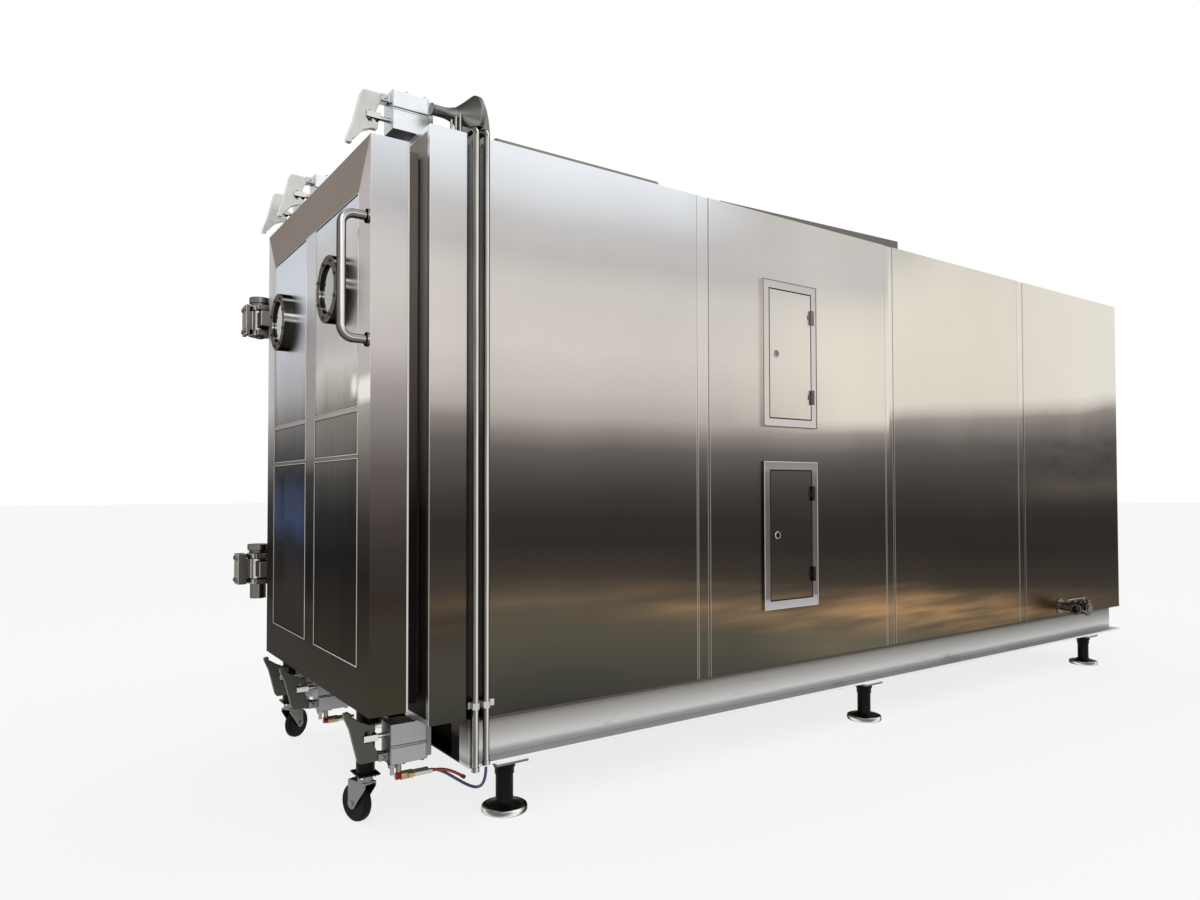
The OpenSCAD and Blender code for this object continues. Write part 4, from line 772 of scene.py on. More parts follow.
@dataclass(frozen=True)
class PlainMetal(Finish):
    """Bare, plated or coated metal of one tone, with the marks of handling."""

    colour: Colour
    roughness: float = 0.35
    metallic: float = 1.0
    shine: float = 0.5
    mottle: float = 0.12

    def paint(self, s: Shading) -> Material:
        """Paints the finish."""
        fine = s.noise(18.0, 4.0, 0.6)
        cloud = s.noise(3.0, 3.0)
        level = fine.about(0.0, self.mottle) + cloud.about(1.0, self.mottle * 1.5)
        return s.dress(
            Base_Color=s.mottled(tone(*self.colour), level), Metallic=self.metallic,
            Specular_IOR_Level=self.shine, Roughness=fine.about(0.0, 0.2) + cloud.about(self.roughness, 0.15),
            Normal=s.bump(fine, 0.05, 0.002))


@dataclass(frozen=True)
class DuctSheet(Finish):
    """The roof ducts' dull sheet, with painted light on top of its sides and painted shade along their foot.
    """

    name: str = "duct_sheet"

    def paint(self, s: Shading) -> Material:
        """Paints the finish."""
        _, _, z = s.axes()
        cloud = s.noise(4.0, 4.0, 0.6, (1, 0.3, 2))
        stops = ((0.0, (52, 50, 46)), (0.35, (72, 70, 66)), (0.7, (92, 90, 86)), (1.0, (120, 118, 113)))
        base = s.ramp(z.rise(2.715, 2.795), stops)
        return s.dress(Base_Color=s.mottled(base, cloud.about(1.0, 0.25)), Metallic=0.9,
                       Specular_IOR_Level=0.0, Specular_Tint=(0.4, 0.4, 0.4),
                       Roughness=cloud.about(0.45, 0.2), Normal=s.bump(cloud, 0.08, 0.003))


@dataclass(frozen=True)
class Moulded(Finish):
    """Rubber or plastic of one colour."""

    colour: Colour
    roughness: float = 0.55
    coat: float = 0.0
    shine: float = 0.5
    dust: float = 0.5

    def paint(self, s: Shading) -> Material:
        """Paints the finish."""
        fine = s.noise(220.0, 3.0)
        dust = s.noise(9.0, 4.0, 0.65)
        dusty = tuple(part + (150 - part) * 0.25 for part in self.colour)
        base = s.coats(tone(*self.colour), (dusty, dust.rise(0.5, 0.8) * self.dust))
        return s.dress(
            Base_Color=base, Specular_IOR_Level=self.shine,
            Roughness=dust.about(self.roughness, 0.3),
            Coat_Weight=self.coat, Normal=s.bump(fine, 0.08, 0.0005))


@dataclass(frozen=True)
class SightGlass(Finish):
    """Thick dark glass with the chamber's gloom behind it."""

    def paint(self, s: Shading) -> Material:
        """Paints the finish."""
        haze = s.noise(7.0, 3.0)
        base = s.coats(tone(24, 30, 29), ((70, 78, 74), haze.rise(0.45, 0.8) * 0.4))
        return s.dress(Base_Color=base, Roughness=haze.about(0.06, 0.06), Coat_Weight=1.0)


@dataclass
class Studio:
    """The floor, the light and the camera."""

    eye: Vector = field(default_factory=lambda: spot(3769, -1507, 1312))
    heading: float = 55.12
    tilt: float = 1.28
    roll: float = -0.10
    lens: float = 24.70
    rise: float = 0.01704

    def build(self) -> None:
        """Makes all three."""
        bpy.context.scene.view_settings.view_transform = "Standard"
        self._camera()
        self._floor()
        self._world()
        self._lamps()

    def _camera(self) -> None:
        """Stands the camera at the front right, near the door."""
        data = bpy.data.cameras.new("camera")
        data.lens = self.lens
        data.sensor_width = 36.0
        data.shift_y = self.rise
        data.clip_end = 200.0
        camera = bpy.data.objects.new("camera", data)
        bpy.context.scene.collection.objects.link(camera)
        turn = Euler((math.radians(90 + self.tilt), 0, math.radians(self.heading))).to_matrix()
        turn = turn @ Matrix.Rotation(math.radians(self.roll), 3, "Z")
        camera.matrix_world = Matrix.Translation(self.eye) @ turn.to_4x4()
        bpy.context.scene.camera = camera

    @staticmethod
    def _background_ray(graph: Graph) -> Expr:
        """Is 1 for a ray from the eye, or one that metal or glass has turned."""
        path = graph.node("ShaderNodeLightPath").outputs
        straight = graph.math("MAXIMUM", path["Is Camera Ray"], path["Is Glossy Ray"])
        return graph.math("MAXIMUM", straight, path["Is Transmission Ray"])

    def _floor(self) -> None:
        """Lays a wide pale floor that keeps the object's shadow."""
        bpy.ops.mesh.primitive_plane_add(size=160, location=(0, 0, 0))
        floor = bpy.context.object
        floor.name = "floor"
        material = bpy.data.materials.new("floor_paint")
        graph = Graph(material)
        paint = graph.node("ShaderNodeBsdfDiffuse", {}, {0: (0.82, 0.82, 0.82)}).outputs[0]
        glow = graph.node("ShaderNodeEmission").outputs[0]
        graph.close("ShaderNodeOutputMaterial", paint, glow, self._background_ray(graph) * 0.80)
        floor.data.materials.append(material)

    def _world(self) -> None:
        """Lights the room evenly, and shows a white surround."""
        world = bpy.data.worlds.new("room")
        bpy.context.scene.world = world
        graph = Graph(world)
        soft, white = (graph.node("ShaderNodeBackground", {}, {0: (level, level, level)}).outputs[0]
                       for level in (0.80, 1.0))
        graph.close("ShaderNodeOutputWorld", soft, white, self._background_ray(graph))

    @staticmethod
    def _lamps() -> None:
        """Hangs two wide soft lamps, over the front right and along the roof."""
        for name, place, aim, size, power in (
            ("key_lamp", (5.5, -5.0, 5.0), (0.0, -1.5, 1.2), 4.0, 60.0),
            ("roof_lamp", (0.0, 0.5, 6.5), (0.0, 0.0, 0.0), 5.0, 80.0),
        ):
            data = bpy.data.lights.new(name, "AREA")
            data.size = size
            data.energy = power
            lamp = bpy.data.objects.new(name, data)
            bpy.context.scene.collection.objects.link(lamp)
            lamp.location = place
            way = Vector(aim) - Vector(place)
            lamp.rotation_euler = way.to_track_quat("-Z", "Y").to_euler()


# Every finish, each made once
FINISHES: tuple[Finish, ...] = (
    BrushedSheet("side_sheet", fan=0.22, warm_reflection=0.9, joint_and_highlight_tone=(62, 58, 56),
                 joints=(1103, 1177, 2538, 2612, 3973, 4047),
                 beads=(1098, 1183, 2533, 2618, 3968, 4053)),
    BrushedSheet("collar_sheet", warm_reflection=0.1, grain=Grain.ALONG_Z, joints=(-253,), channel=True,
                 dip=0.05),
    BrushedSheet("roof_sheet", shade=0.9, warm_reflection=0.0),
    BrushedSheet("strip_sheet", fan=0.22, warm_reflection=0.7, roughness=0.30, shade=1.03,
                 beads=(1109, 1171, 2544, 2606, 3979, 4041)),
    FrameSheet(),
    BrushedSheet("rear_sheet", warm_reflection=0.1, grain=Grain.ALONG_Z),
    DoorSheet(),
    InfillSheet(),
    BeamSteel(),
    Chrome("chrome"),
    Chrome("pale_chrome", 1.12),
    Chrome("dark_chrome", 0.62),
    PlainMetal("edge_bright", (204, 201, 197), 0.3, mottle=0.25),
    # One anodised finish for the clamp blocks: a lit copy for the high ones, and a copy in painted shade for
    # the low ones
    ClampBlock("lit_anodised_block", (240, 243, 246), 2.8128, 0.0, 0.42),
    ClampBlock("shaded_anodised_block", (166, 166, 167), 0.3172, 0.4, 0.45),
    FittingMetal(),
    PlainMetal("vessel_steel", (168, 168, 168), 0.38),
    ShadedSteel("flange_steel", (150, 142, 135), (36, 31, 28)),
    ShadedSteel("plate_steel", (112, 104, 98), (30, 26, 24)),
    Chrome("hinge_casting", 1.0, (0.25, -0.80, 0.25), CASTING_BANDS, 0.36),
    Chrome("ring_metal", 1.0, (0.0, 0.0, 0.93), RING_BANDS, 0.24),
    Chrome("manifold_grey", 0.62, (0.55, -0.60, 0.45), CASTING_BANDS, 0.32),
    Chrome("handle_tube", 1.0, (0.85, 0.03, 0.45), HANDLE_BANDS, 0.16),
    ShadedSteel("knuckle_grey", (132, 124, 119), (36, 36, 34)),
    PlainMetal("lever_steel", (206, 205, 202), 0.3, mottle=0.3),
    PlainMetal("zinc", (132, 133, 130), 0.34, mottle=0.3),
    PlainMetal("cast_grey", (82, 81, 74), 0.42, metallic=0.7, mottle=0.2),
    PlainMetal("duct_grey", (70, 66, 64), 0.5, metallic=0.7, mottle=0.2),
    DuctSheet(),
    PlainMetal("black_coat", (7, 7, 8), 0.45, metallic=0.0, shine=0.12, mottle=0.3),
    Moulded("gasket_rubber", (26, 25, 24)),
    Moulded("tyre_rubber", (9, 8, 7), 0.6, shine=0.15, dust=0.2),
    Moulded("blue_tube", (24, 44, 96), 0.35, 0.3),
    Moulded("red_tube", (142, 16, 26), 0.35, 0.3),
    Moulded("foam", (214, 196, 128), 0.9),
    SightGlass("sight_glass"),
)


class Facing(Enum):
    """Where a piece that is modelled flat, with its top up, is turned to look."""

    FRONT = ((1, 0, 0), (0, 0, -1), (0, 1, 0))
    RIGHT = ((0, 0, 1), (1, 0, 0), (0, 1, 0))
    UP = ((1, 0, 0), (0, 1, 0), (0, 0, 1))
    DOWN = ((1, 0, 0), (0, -1, 0), (0, 0, -1))


class Bench:
    """The modelling steps that the sub-assemblies share. Sizes are in millimetres."""

    @staticmethod
    def pick(piece: Piece) -> None:
        """Selects that piece alone."""
        bpy.ops.object.select_all(action="DESELECT")
        piece.select_set(True)
        bpy.context.view_layer.objects.active = piece

    @staticmethod
    @contextmanager
    def editing(action: str = "SELECT") -> Iterator[None]:
        """Opens the active piece in edit mode, with all or none of it selected."""
        bpy.ops.object.mode_set(mode="EDIT")
        bpy.ops.mesh.select_all(action=action)
        yield
        bpy.ops.object.mode_set(mode="OBJECT")

    @staticmethod
    @contextmanager
    def chosen(piece: Piece, test: Callable[[bpy.types.MeshPolygon], bool]) -> Iterator[None]:
        """Opens a piece in edit mode, with the faces that pass a test selected."""
        Bench.pick(piece)
        with Bench.editing("DESELECT"):
            bpy.ops.mesh.select_mode(type="FACE")
        for face in piece.data.polygons:
            face.select = test(face)
        bpy.ops.object.mode_set(mode="EDIT")
        yield
        bpy.ops.object.mode_set(mode="OBJECT")

    @staticmethod
    def joined(name: str, pieces: Sequence[Piece]) -> Piece:
        """Makes several pieces one, under a new name."""
        Bench.pick(pieces[0])
        for piece in pieces[1:]:
            piece.select_set(True)
        if len(pieces) > 1:
            bpy.ops.object.join()
        pieces[0].name = name
        return pieces[0]

    @staticmethod
    def made(name: str) -> Piece:
        """Names the piece just made, and takes its scale and place into its mesh."""
        bpy.context.object.name = name
        bpy.ops.object.transform_apply()
        return bpy.context.object

    @staticmethod
    def raise_faces(height: float) -> None:
        """Extrudes what is selected upward by so many millimetres."""
        bpy.ops.mesh.extrude_region_move(TRANSFORM_OT_translate={"value": (0, 0, height * MM)})

    @staticmethod
    def bevel(piece: Piece, width: float, segments: int = 2, smooth: float = 38.0) -> None:
        """Rounds a piece's sharp edges and shades it smooth between them.

        Args:
            piece: The piece, in object mode.
            width: The bevel's width, or 0 for none.
            segments: The number of its segments.
            smooth: The angle in degrees under which faces shade as one.
        """
        Bench.pick(piece)
        if width:
            rounding = piece.modifiers.new("edges", "BEVEL")
            rounding.width = width * MM
            rounding.segments = segments
            rounding.limit_method = "ANGLE"
            rounding.angle_limit = math.radians(40)
            rounding.use_clamp_overlap = False
            bpy.ops.object.modifier_apply(modifier=rounding.name)
        bpy.ops.object.shade_smooth_by_angle(angle=math.radians(smooth))
        if width:
            level = piece.modifiers.new("flats", "WEIGHTED_NORMAL")
            level.keep_sharp = True
            bpy.ops.object.modifier_apply(modifier=level.name)

    @staticmethod
    def seat(piece: Piece, at: Vector, facing: Facing | Vector) -> None:
        """Turns a piece that was modelled at the origin and takes it to its place.

        Args:
            piece: The piece.
            at: Its place.
            facing: Where it is turned to look, as a facing or as a direction.
        """
        Bench.pick(piece)
        turn = (Matrix(facing.value) if isinstance(facing, Facing)
                else facing.to_track_quat("Z", "Y").to_matrix())
        piece.matrix_world = Matrix.Translation(at) @ turn.to_4x4()
        bpy.ops.object.transform_apply()

    @staticmethod
    def block(name: str, low: Point, high: Point, edge: float) -> Piece:
        """A box with rounded edges between two corners from the body's datum."""
        corner, far = spot(*low), spot(*high)
        bpy.ops.mesh.primitive_cube_add(size=1, location=(corner + far) / 2, scale=far - corner)
        piece = Bench.made(name)
        Bench.bevel(piece, edge)
        return piece

    @staticmethod
    def turned(name: str, steps: Sequence[tuple[float, float]], sides: int = 48) -> Piece:
        """Turns a closed shape about the upright axis at the origin.

        Args:
            name: The piece's name.
            steps: The radius and height of each step, from the first face to the last.
            sides: The number of sides.

        Returns:
            The piece.
        """
        radius, height = steps[0]
        bpy.ops.mesh.primitive_circle_add(vertices=sides, radius=radius * MM, fill_type="NGON",
                                          location=(0, 0, height * MM))
        piece = Bench.made(name)
        with Bench.editing():
            for wider, higher in steps[1:]:
                Bench.raise_faces(higher - height)
                ratio = wider / radius
                if ratio != 1:
                    bpy.ops.transform.resize(value=(ratio, ratio, 1), center_override=(0, 0, higher * MM))
                radius, height = wider, higher
            bpy.ops.mesh.select_all(action="SELECT")
            bpy.ops.mesh.normals_make_consistent(inside=False)
        return piece

    @staticmethod
    def border(name: str, size: tuple[float, float], width: float, depth: float, edge: float) -> Piece:
        """A flat rectangular ring at the origin, with its face up.

        Args:
            name: The piece's name.
            size: Its outer width and height.
            width: The width of its strip.
            depth: Its thickness.
            edge: The rounding of its edges.

        Returns:
            The piece.
        """
        bpy.ops.mesh.primitive_plane_add(size=1, location=(0, 0, 0))
        bpy.context.object.scale = (size[0] * MM, size[1] * MM, 1)
        piece = Bench.made(name)
        with Bench.editing():
            bpy.ops.mesh.select_mode(type="FACE")
            bpy.ops.mesh.select_all(action="SELECT")
            bpy.ops.mesh.inset(thickness=width * MM, depth=0)
            bpy.ops.mesh.delete(type="FACE")
            bpy.ops.mesh.select_all(action="SELECT")
            Bench.raise_faces(depth)
            bpy.ops.mesh.select_all(action="SELECT")
            bpy.ops.mesh.normals_make_consistent(inside=False)
        Bench.bevel(piece, edge)
        return piece

    @staticmethod
    def scatter(name: str, pattern: Piece, places: Sequence[tuple[Vector, Facing]]) -> Piece:
        """Copies a piece from the origin to several places, as one piece.

        Args:
            name: The new piece's name.
            pattern: The piece to copy, which is used up.
            places: Where each copy goes and how it faces.

        Returns:
            The joined piece.
        """
        copies = []
        for at, facing in places:
            copy = bpy.data.objects.new(name, pattern.data.copy())
            bpy.context.scene.collection.objects.link(copy)
            Bench.seat(copy, at, facing)
            copies.append(copy)
        bpy.data.objects.remove(pattern)
        return Bench.joined(name, copies)

    @staticmethod
    def hex_bolt(across: float, head: float) -> Piece:
        """A bolt's six-sided head on its washer, at the origin, facing up."""
        washer = Bench.turned("washer", ((across * 0.72, 0), (across * 0.72, head * 0.25)), 24)
        bpy.ops.mesh.primitive_cylinder_add(vertices=6, radius=across * 0.577 * MM, depth=head * MM,
                                            location=(0, 0, (head * 0.25 + head / 2) * MM))
        top = Bench.made("head")
        with Bench.chosen(top, lambda face: face.normal.z > 0.9):
            bpy.ops.mesh.bevel(offset=head * 0.15 * MM, segments=2, affect="EDGES")
        Bench.joined("bolt", (washer, top))
        bpy.ops.object.shade_smooth_by_angle(angle=math.radians(30))
        return washer

    @staticmethod
    def cap_screw(radius: float, head: float) -> Piece:
        """A socket screw's head, at the origin, facing up."""
        piece = Bench.turned("cap_screw", (
            (radius, 0), (radius, head * 0.85), (radius * 0.88, head), (radius * 0.52, head),
            (radius * 0.48, head * 0.35)), 24)
        bpy.ops.object.shade_smooth_by_angle(angle=math.radians(30))
        return piece


@dataclass
class Assembly:
    """What every sub-assembly knows: the frame's nodes and the finishes."""

    nodes: dict[str, Piece]
    finishes: dict[str, Material]

    def hand_over(self, piece: Piece, body: str, slot: str, finish: str, *replaced: str) -> Piece:
        """Dresses a finished piece and gives it to its body.

        Args:
            piece: The piece.
            body: The body that it rides on.
            slot: Not used.
            finish: The finish's name.
            replaced: The CAD nodes that it stands for.

        Returns:
            The same piece.
        """
        piece.data.materials.clear()
        piece.data.materials.append(self.finishes[finish])
        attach(piece, body)
        if replaced:
            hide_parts(*replaced)
        LOG.info("piece %s on %s", piece.name, body)
        return piece

    def refined(self, node: str, edge: float, finish: str, slot: str, body: str = "machine",
                segments: int = 2, name: str = "", weld: float = 0.002,
                keep: Callable[[Vector], bool] | None = None) -> Piece:
        """Makes a node's shape as one clean mesh with rounded edges, in the node's place.

        Args:
            node: The CAD node.
            edge: The width of its rounded edges, or 0 for none.
            finish: The finish's name.
            slot: A material slot's name, handed on to hand_over.
            body: The body that it rides on.
            segments: The segments of its rounded edges.
            name: The piece's name, if it isn't the node's name with _finished.
            weld: The distance under which corners are made one, which closes a seam that is narrower.
            keep: Tells whether a face with that middle belongs to the piece.

        Returns:
            The piece.
        """
        piece = bpy.data.objects.new(name or f"{node}_finished", self.nodes[node].data.copy())
        bpy.context.scene.collection.objects.link(piece)
        Bench.pick(piece)
        with Bench.editing():
            bpy.ops.mesh.remove_doubles(threshold=weld * MM)
        if keep:
            with Bench.chosen(piece, lambda face: not keep(face.center)):
                bpy.ops.mesh.delete(type="FACE")
        with Bench.editing():
            bpy.ops.mesh.dissolve_limited(angle_limit=math.radians(0.5))
            bpy.ops.mesh.select_all(action="DESELECT")
            bpy.ops.mesh.select_interior_faces()
            bpy.ops.mesh.delete(type="FACE")
            bpy.ops.mesh.select_all(action="SELECT")
            bpy.ops.mesh.dissolve_limited(angle_limit=math.radians(0.5))
        Bench.bevel(piece, edge, segments)
        return self.hand_over(piece, body, slot, finish, node)


@dataclass
class Cords(Assembly):
    """The two air hoses under the near clamp."""

    bore: float = 12.0
    blue: tuple[Point, ...] = (
        (657, -180, 192), (657, -164, 192), (659, -143, 188), (667, -119, 178), (680, -98, 165),
        (695, -80, 152), (712, -64, 141), (730, -51, 133), (750, -40, 128), (770, -31, 127),
        (790, -25, 131), (808, -21, 140), (824, -19, 154), (837, -19, 172), (846, -19, 191),
        (850, -19, 208), (851, -19, 225))
    red: tuple[Point, ...] = (
        (681, -172, 196), (681, -157, 196), (683, -139, 195), (687, -120, 191), (691, -102, 185),
        (695, -85, 177), (699, -69, 168), (703, -54, 158))

    def build(self) -> None:
        """Makes the hoses and the plug on the loose one."""
        blue, length = self._tube("blue_air_hose", self.blue)
        self.hand_over(blue, "machine", "hose_blue", "blue_tube", "blue_hose")
        tuple(spot(*self.blue[0]))
        self.bore * MM
        red, length = self._tube("red_air_hose", self.red)
        self.hand_over(red, "machine", "hose_red", "red_tube", "red_hose")
        plug = self._plug()
        tuple(spot(*self.red[0]))
        self.bore * MM

    def _tube(self, name: str, route: Sequence[Point]) -> tuple[Piece, float]:
        """Sweeps a round tube along a route.

        Args:
            name: The piece's name.
            route: Its points from the body's datum.

        Returns:
            The curve, and its length in metres.
        """
        data = bpy.data.curves.new(name, "CURVE")
        data.dimensions = "3D"
        data.bevel_depth = self.bore / 2 * MM
        data.bevel_resolution = 4
        data.use_fill_caps = True
        data.resolution_u = 6
        line = data.splines.new("NURBS")
        line.points.add(len(route) - 1)
        points = [spot(*place) for place in route]
        for point, place in zip(line.points, points):
            point.co = (*place, 1)
        line.order_u = 4
        line.use_endpoint_u = True
        piece = bpy.data.objects.new(name, data)
        bpy.context.scene.collection.objects.link(piece)
        return piece, sum((b - a).length for a, b in zip(points, points[1:]))

    def _plug(self) -> Piece:
        """Turns the plug that closes the red hose."""
        end, before = spot(*self.red[-1]), spot(*self.red[-2])
        piece = Bench.turned("red_hose_end", ((7, 0), (8, 1), (8, 6), (7, 7), (7, 9), (8, 10), (8, 16),
                                              (6.5, 18)), 32)
        Bench.seat(piece, end, end - before)
        bpy.ops.object.shade_smooth_by_angle(angle=math.radians(40))
        return self.hand_over(piece, "machine", "cast_grey", "duct_grey", "red_hose_plug")


@dataclass
class Body(Assembly):
    """The clad body, its base and its feet."""

    foot_x: float = 755.0
    foot_rows: tuple[float, ...] = (114.0, 2425.0, 5000.0)

    def build(self) -> None:
        """Makes the cladding, the base and the feet."""
        for side in ("right", "left"):
            self.refined(f"side_panels_{side}", 1.6, "side_sheet", "clad_steel")
        self.refined("collar_skin", 1.4, "collar_sheet", "clad_steel", weld=0.25)
        self.refined("roof_panels", 1.6, "roof_sheet", "clad_steel")
        self.refined("rear_panel", 1.6, "rear_sheet", "clad_steel")
        self.refined("panel_battens", 0.8, "strip_sheet", "strip_steel")
        self.refined("base_frame", 2.0, "beam_steel", "beam_steel")
        self._feet()

    def _feet(self) -> None:
        """Turns the six feet: a bright disc each, and a black column with collars near its top."""
        places = [(spot(side * self.foot_x, y, 0), Facing.UP)
                  for side in (-1, 1) for y in self.foot_rows]
        disc = Bench.turned("disc", ((88, 0), (92, 2), (94, 6), (94, 19), (92, 24), (87, 26), (70, 27)))
        discs = Bench.scatter("foot_discs", disc, places)
        Bench.bevel(discs, 0, smooth=50)
        self.hand_over(discs, "machine", "polished_steel", "pale_chrome")
        column = Bench.turned("column", (
            (78, 26), (78, 28), (60, 33), (44, 39), (36, 46), (36, 150), (40, 152), (40, 176),
            (45, 180), (45, 205), (36, 205)))
        columns = Bench.scatter("foot_columns", column, places)
        Bench.bevel(columns, 0, smooth=50)
        self.hand_over(columns, "machine", "black_steel", "black_coat", "levelling_feet")


@dataclass
class Door(Assembly):
    """The clad door, its infills, handle and sight glasses."""

    front: float = -465.0
    rear: float = -313.0
    half: float = 782.0
    low: float = 467.0
    high: float = 2645.0
    field_w: float = 577.0
    field_x: float = 358.5
    rows: tuple[tuple[float, float], ...] = ((631.0, 1433.0), (1445.0, 1617.0), (1629.0, 2459.0))
    sight_x: float = 400.0
    sight_z: float = 2125.0
    cover: float = 50.0
    screw_circle: float = 118.0
    screws: int = 8

    def build(self) -> None:
        """Makes the door's visible pieces."""
        self.refined("door_skin", 2.2, "door_sheet", "door_steel", "door", 3)
        self.refined("door_handle", 0, "handle_tube", "polished_steel", "door")
        self._infills()
        self._beads()
        self._sight_glasses()

    def _infills(self) -> None:
        """Presses the six infill sheets, each with a shallow step round its field."""
        panels = []
        for side in (-1, 1):
            for low, high in self.rows:
                middle = side * self.field_x
                wide = self.field_w / 2 + 2
                panel = Bench.block("infill", (middle - wide, self.front + 3, low - 2),
                                    (middle + wide, self.front + 6, high + 2), 0)
                with Bench.chosen(panel, lambda face: face.normal.y < -0.9):
                    for thickness, depth in ((9, 0), (3, 1.4), (2, 0)):
                        bpy.ops.mesh.inset(thickness=thickness * MM, depth=depth * MM)
                Bench.bevel(panel, 0.4)
                panels.append(panel)
        sheets = Bench.joined("door_infill_sheets", panels)
        self.hand_over(sheets, "door", "door_steel", "infill_sheet", "door_infills")

    def _beads(self) -> None:
        """Lays a bright bead round each infill, and one down each side's rear edge."""
        for number, side in enumerate((-1, 1)):
            for row, (low, high) in enumerate(self.rows):
                bead = Bench.border("bead", (self.field_w, high - low), 4.5, 4.6, 1.6)
                at = spot(side * self.field_x, self.front + 3.4, (low + high) / 2)
                Bench.seat(bead, at, Facing.FRONT)
                bead.name = f"infill_bead_{number}{row}"
                self.hand_over(bead, "door", "strip_steel", "pale_chrome")
        for side in (-1, 1):
            inner, outer = sorted((side * (self.half - 0.5), side * (self.half + 3)))
            bead = Bench.block(f"edge_bead_{'left' if side < 0 else 'right'}",
                               (inner, self.rear - 8, self.low + 3), (outer, self.rear, self.high - 3), 1.2)
            self.hand_over(bead, "door", "strip_steel", "edge_bright")

    def _sight_glasses(self) -> None:
        """Finishes the sight glasses' covers, their screws and their panes."""
        self.refined("sight_glass_rings", 2.5, "ring_metal", "polished_steel", "door", 3)
        self.refined("sight_glass_panes", 0.8, "sight_glass", "sight_glass", "door")
        places = []
        for side in (-1, 1):
            for number in range(self.screws):
                turn = math.radians((number + 0.5) * 360 / self.screws)
                places.append((spot(side * self.sight_x + self.screw_circle * math.cos(turn),
                                    self.front - self.cover,
                                    self.sight_z + self.screw_circle * math.sin(turn)), Facing.FRONT))
        screws = Bench.scatter("sight_cover_screws", Bench.cap_screw(6.5, 6), places)
        self.hand_over(screws, "door", "polished_steel", "dark_chrome")


@dataclass
class Hinges(Assembly):
    """The two door hinges."""

    axis_x: float = -915.0
    axis_y: float = -480.0
    heights: tuple[float, ...] = (892.0, 2215.0)
    reaches: tuple[float, ...] = (111.0, 80.0)
    bolt_x: float = 32.0
    bolt_z: float = 58.0

    def build(self) -> None:
        """Finishes the brackets, arms and pins, and bolts the front plates."""
        self.refined("hinge_brackets", 3.0, "hinge_casting", "bead_blasted_steel")
        self.refined("hinge_arms", 3.0, "hinge_casting", "bead_blasted_steel", "door")
        self.refined("hinge_pins", 2.5, "manifold_grey", "cast_grey")
        places = [(spot(self.axis_x + dx, self.axis_y - reach, height + dz), Facing.FRONT)
                  for height, reach in zip(self.heights, self.reaches)
                  for dx in (-self.bolt_x, self.bolt_x) for dz in (-self.bolt_z, self.bolt_z)]
        bolts = Bench.scatter("hinge_plate_bolts", Bench.hex_bolt(17, 6), places)
        self.hand_over(bolts, "door", "polished_steel", "dark_chrome")


@dataclass
class Caster(Assembly):
    """One swivel caster under the door."""

    name: str = "near"
    x: float = 565.0
    y: float = -400.0
    turn: float = -161.0
    trail: float = 52.0
    axle_z: float = 75.0
    plate_z: float = 197.0
    bolt_x: float = 40.0
    bolt_y: float = 30.0

    def build(self) -> None:
        """Finishes the fork, and makes the wheel and the bolts of the top plate."""
        fork = f"caster_fork_{self.name}"
        self.refined(fork, 1.2, "zinc", "zinc_steel", fork)
        self._wheel()
        places = [(spot(self.x + dx, self.y + dy, self.plate_z), Facing.DOWN)
                  for dx in (-self.bolt_x, self.bolt_x) for dy in (-self.bolt_y, self.bolt_y)]
        bolts = Bench.scatter(f"caster_bolts_{self.name}", Bench.hex_bolt(13, 6), places)
        self.hand_over(bolts, "door", "polished_steel", "pale_chrome")

    def _wheel(self) -> None:
        """Turns the tyre and its dished hub."""
        angle = math.radians(self.turn)
        middle = spot(self.x + self.trail * math.cos(angle), self.y + self.trail * math.sin(angle),
                      self.axle_z)
        across = Vector((-math.sin(angle), math.cos(angle), 0))
        body = f"caster_wheel_{self.name}"
        for name, steps, finish, replaced in (
            (f"tyre_{self.name}", ((47, -17), (60, -19), (68, -18), (73, -13), (75, -6), (75, 6),
                                   (73, 13), (68, 18), (60, 19), (47, 17)), "tyre_rubber", (body,)),
            (f"wheel_hub_{self.name}", ((18, -22), (18, -13), (38, -13), (42, -16), (47, -16.5),
                                        (47, 16.5), (42, 16), (38, 13), (18, 13), (18, 22)), "zinc", ()),
        ):
            piece = Bench.turned(name, steps, 64)
            Bench.seat(piece, middle, across)
            Bench.bevel(piece, 0.5, 2, 40)
            self.hand_over(piece, body, "caster_tyre", finish, *replaced)


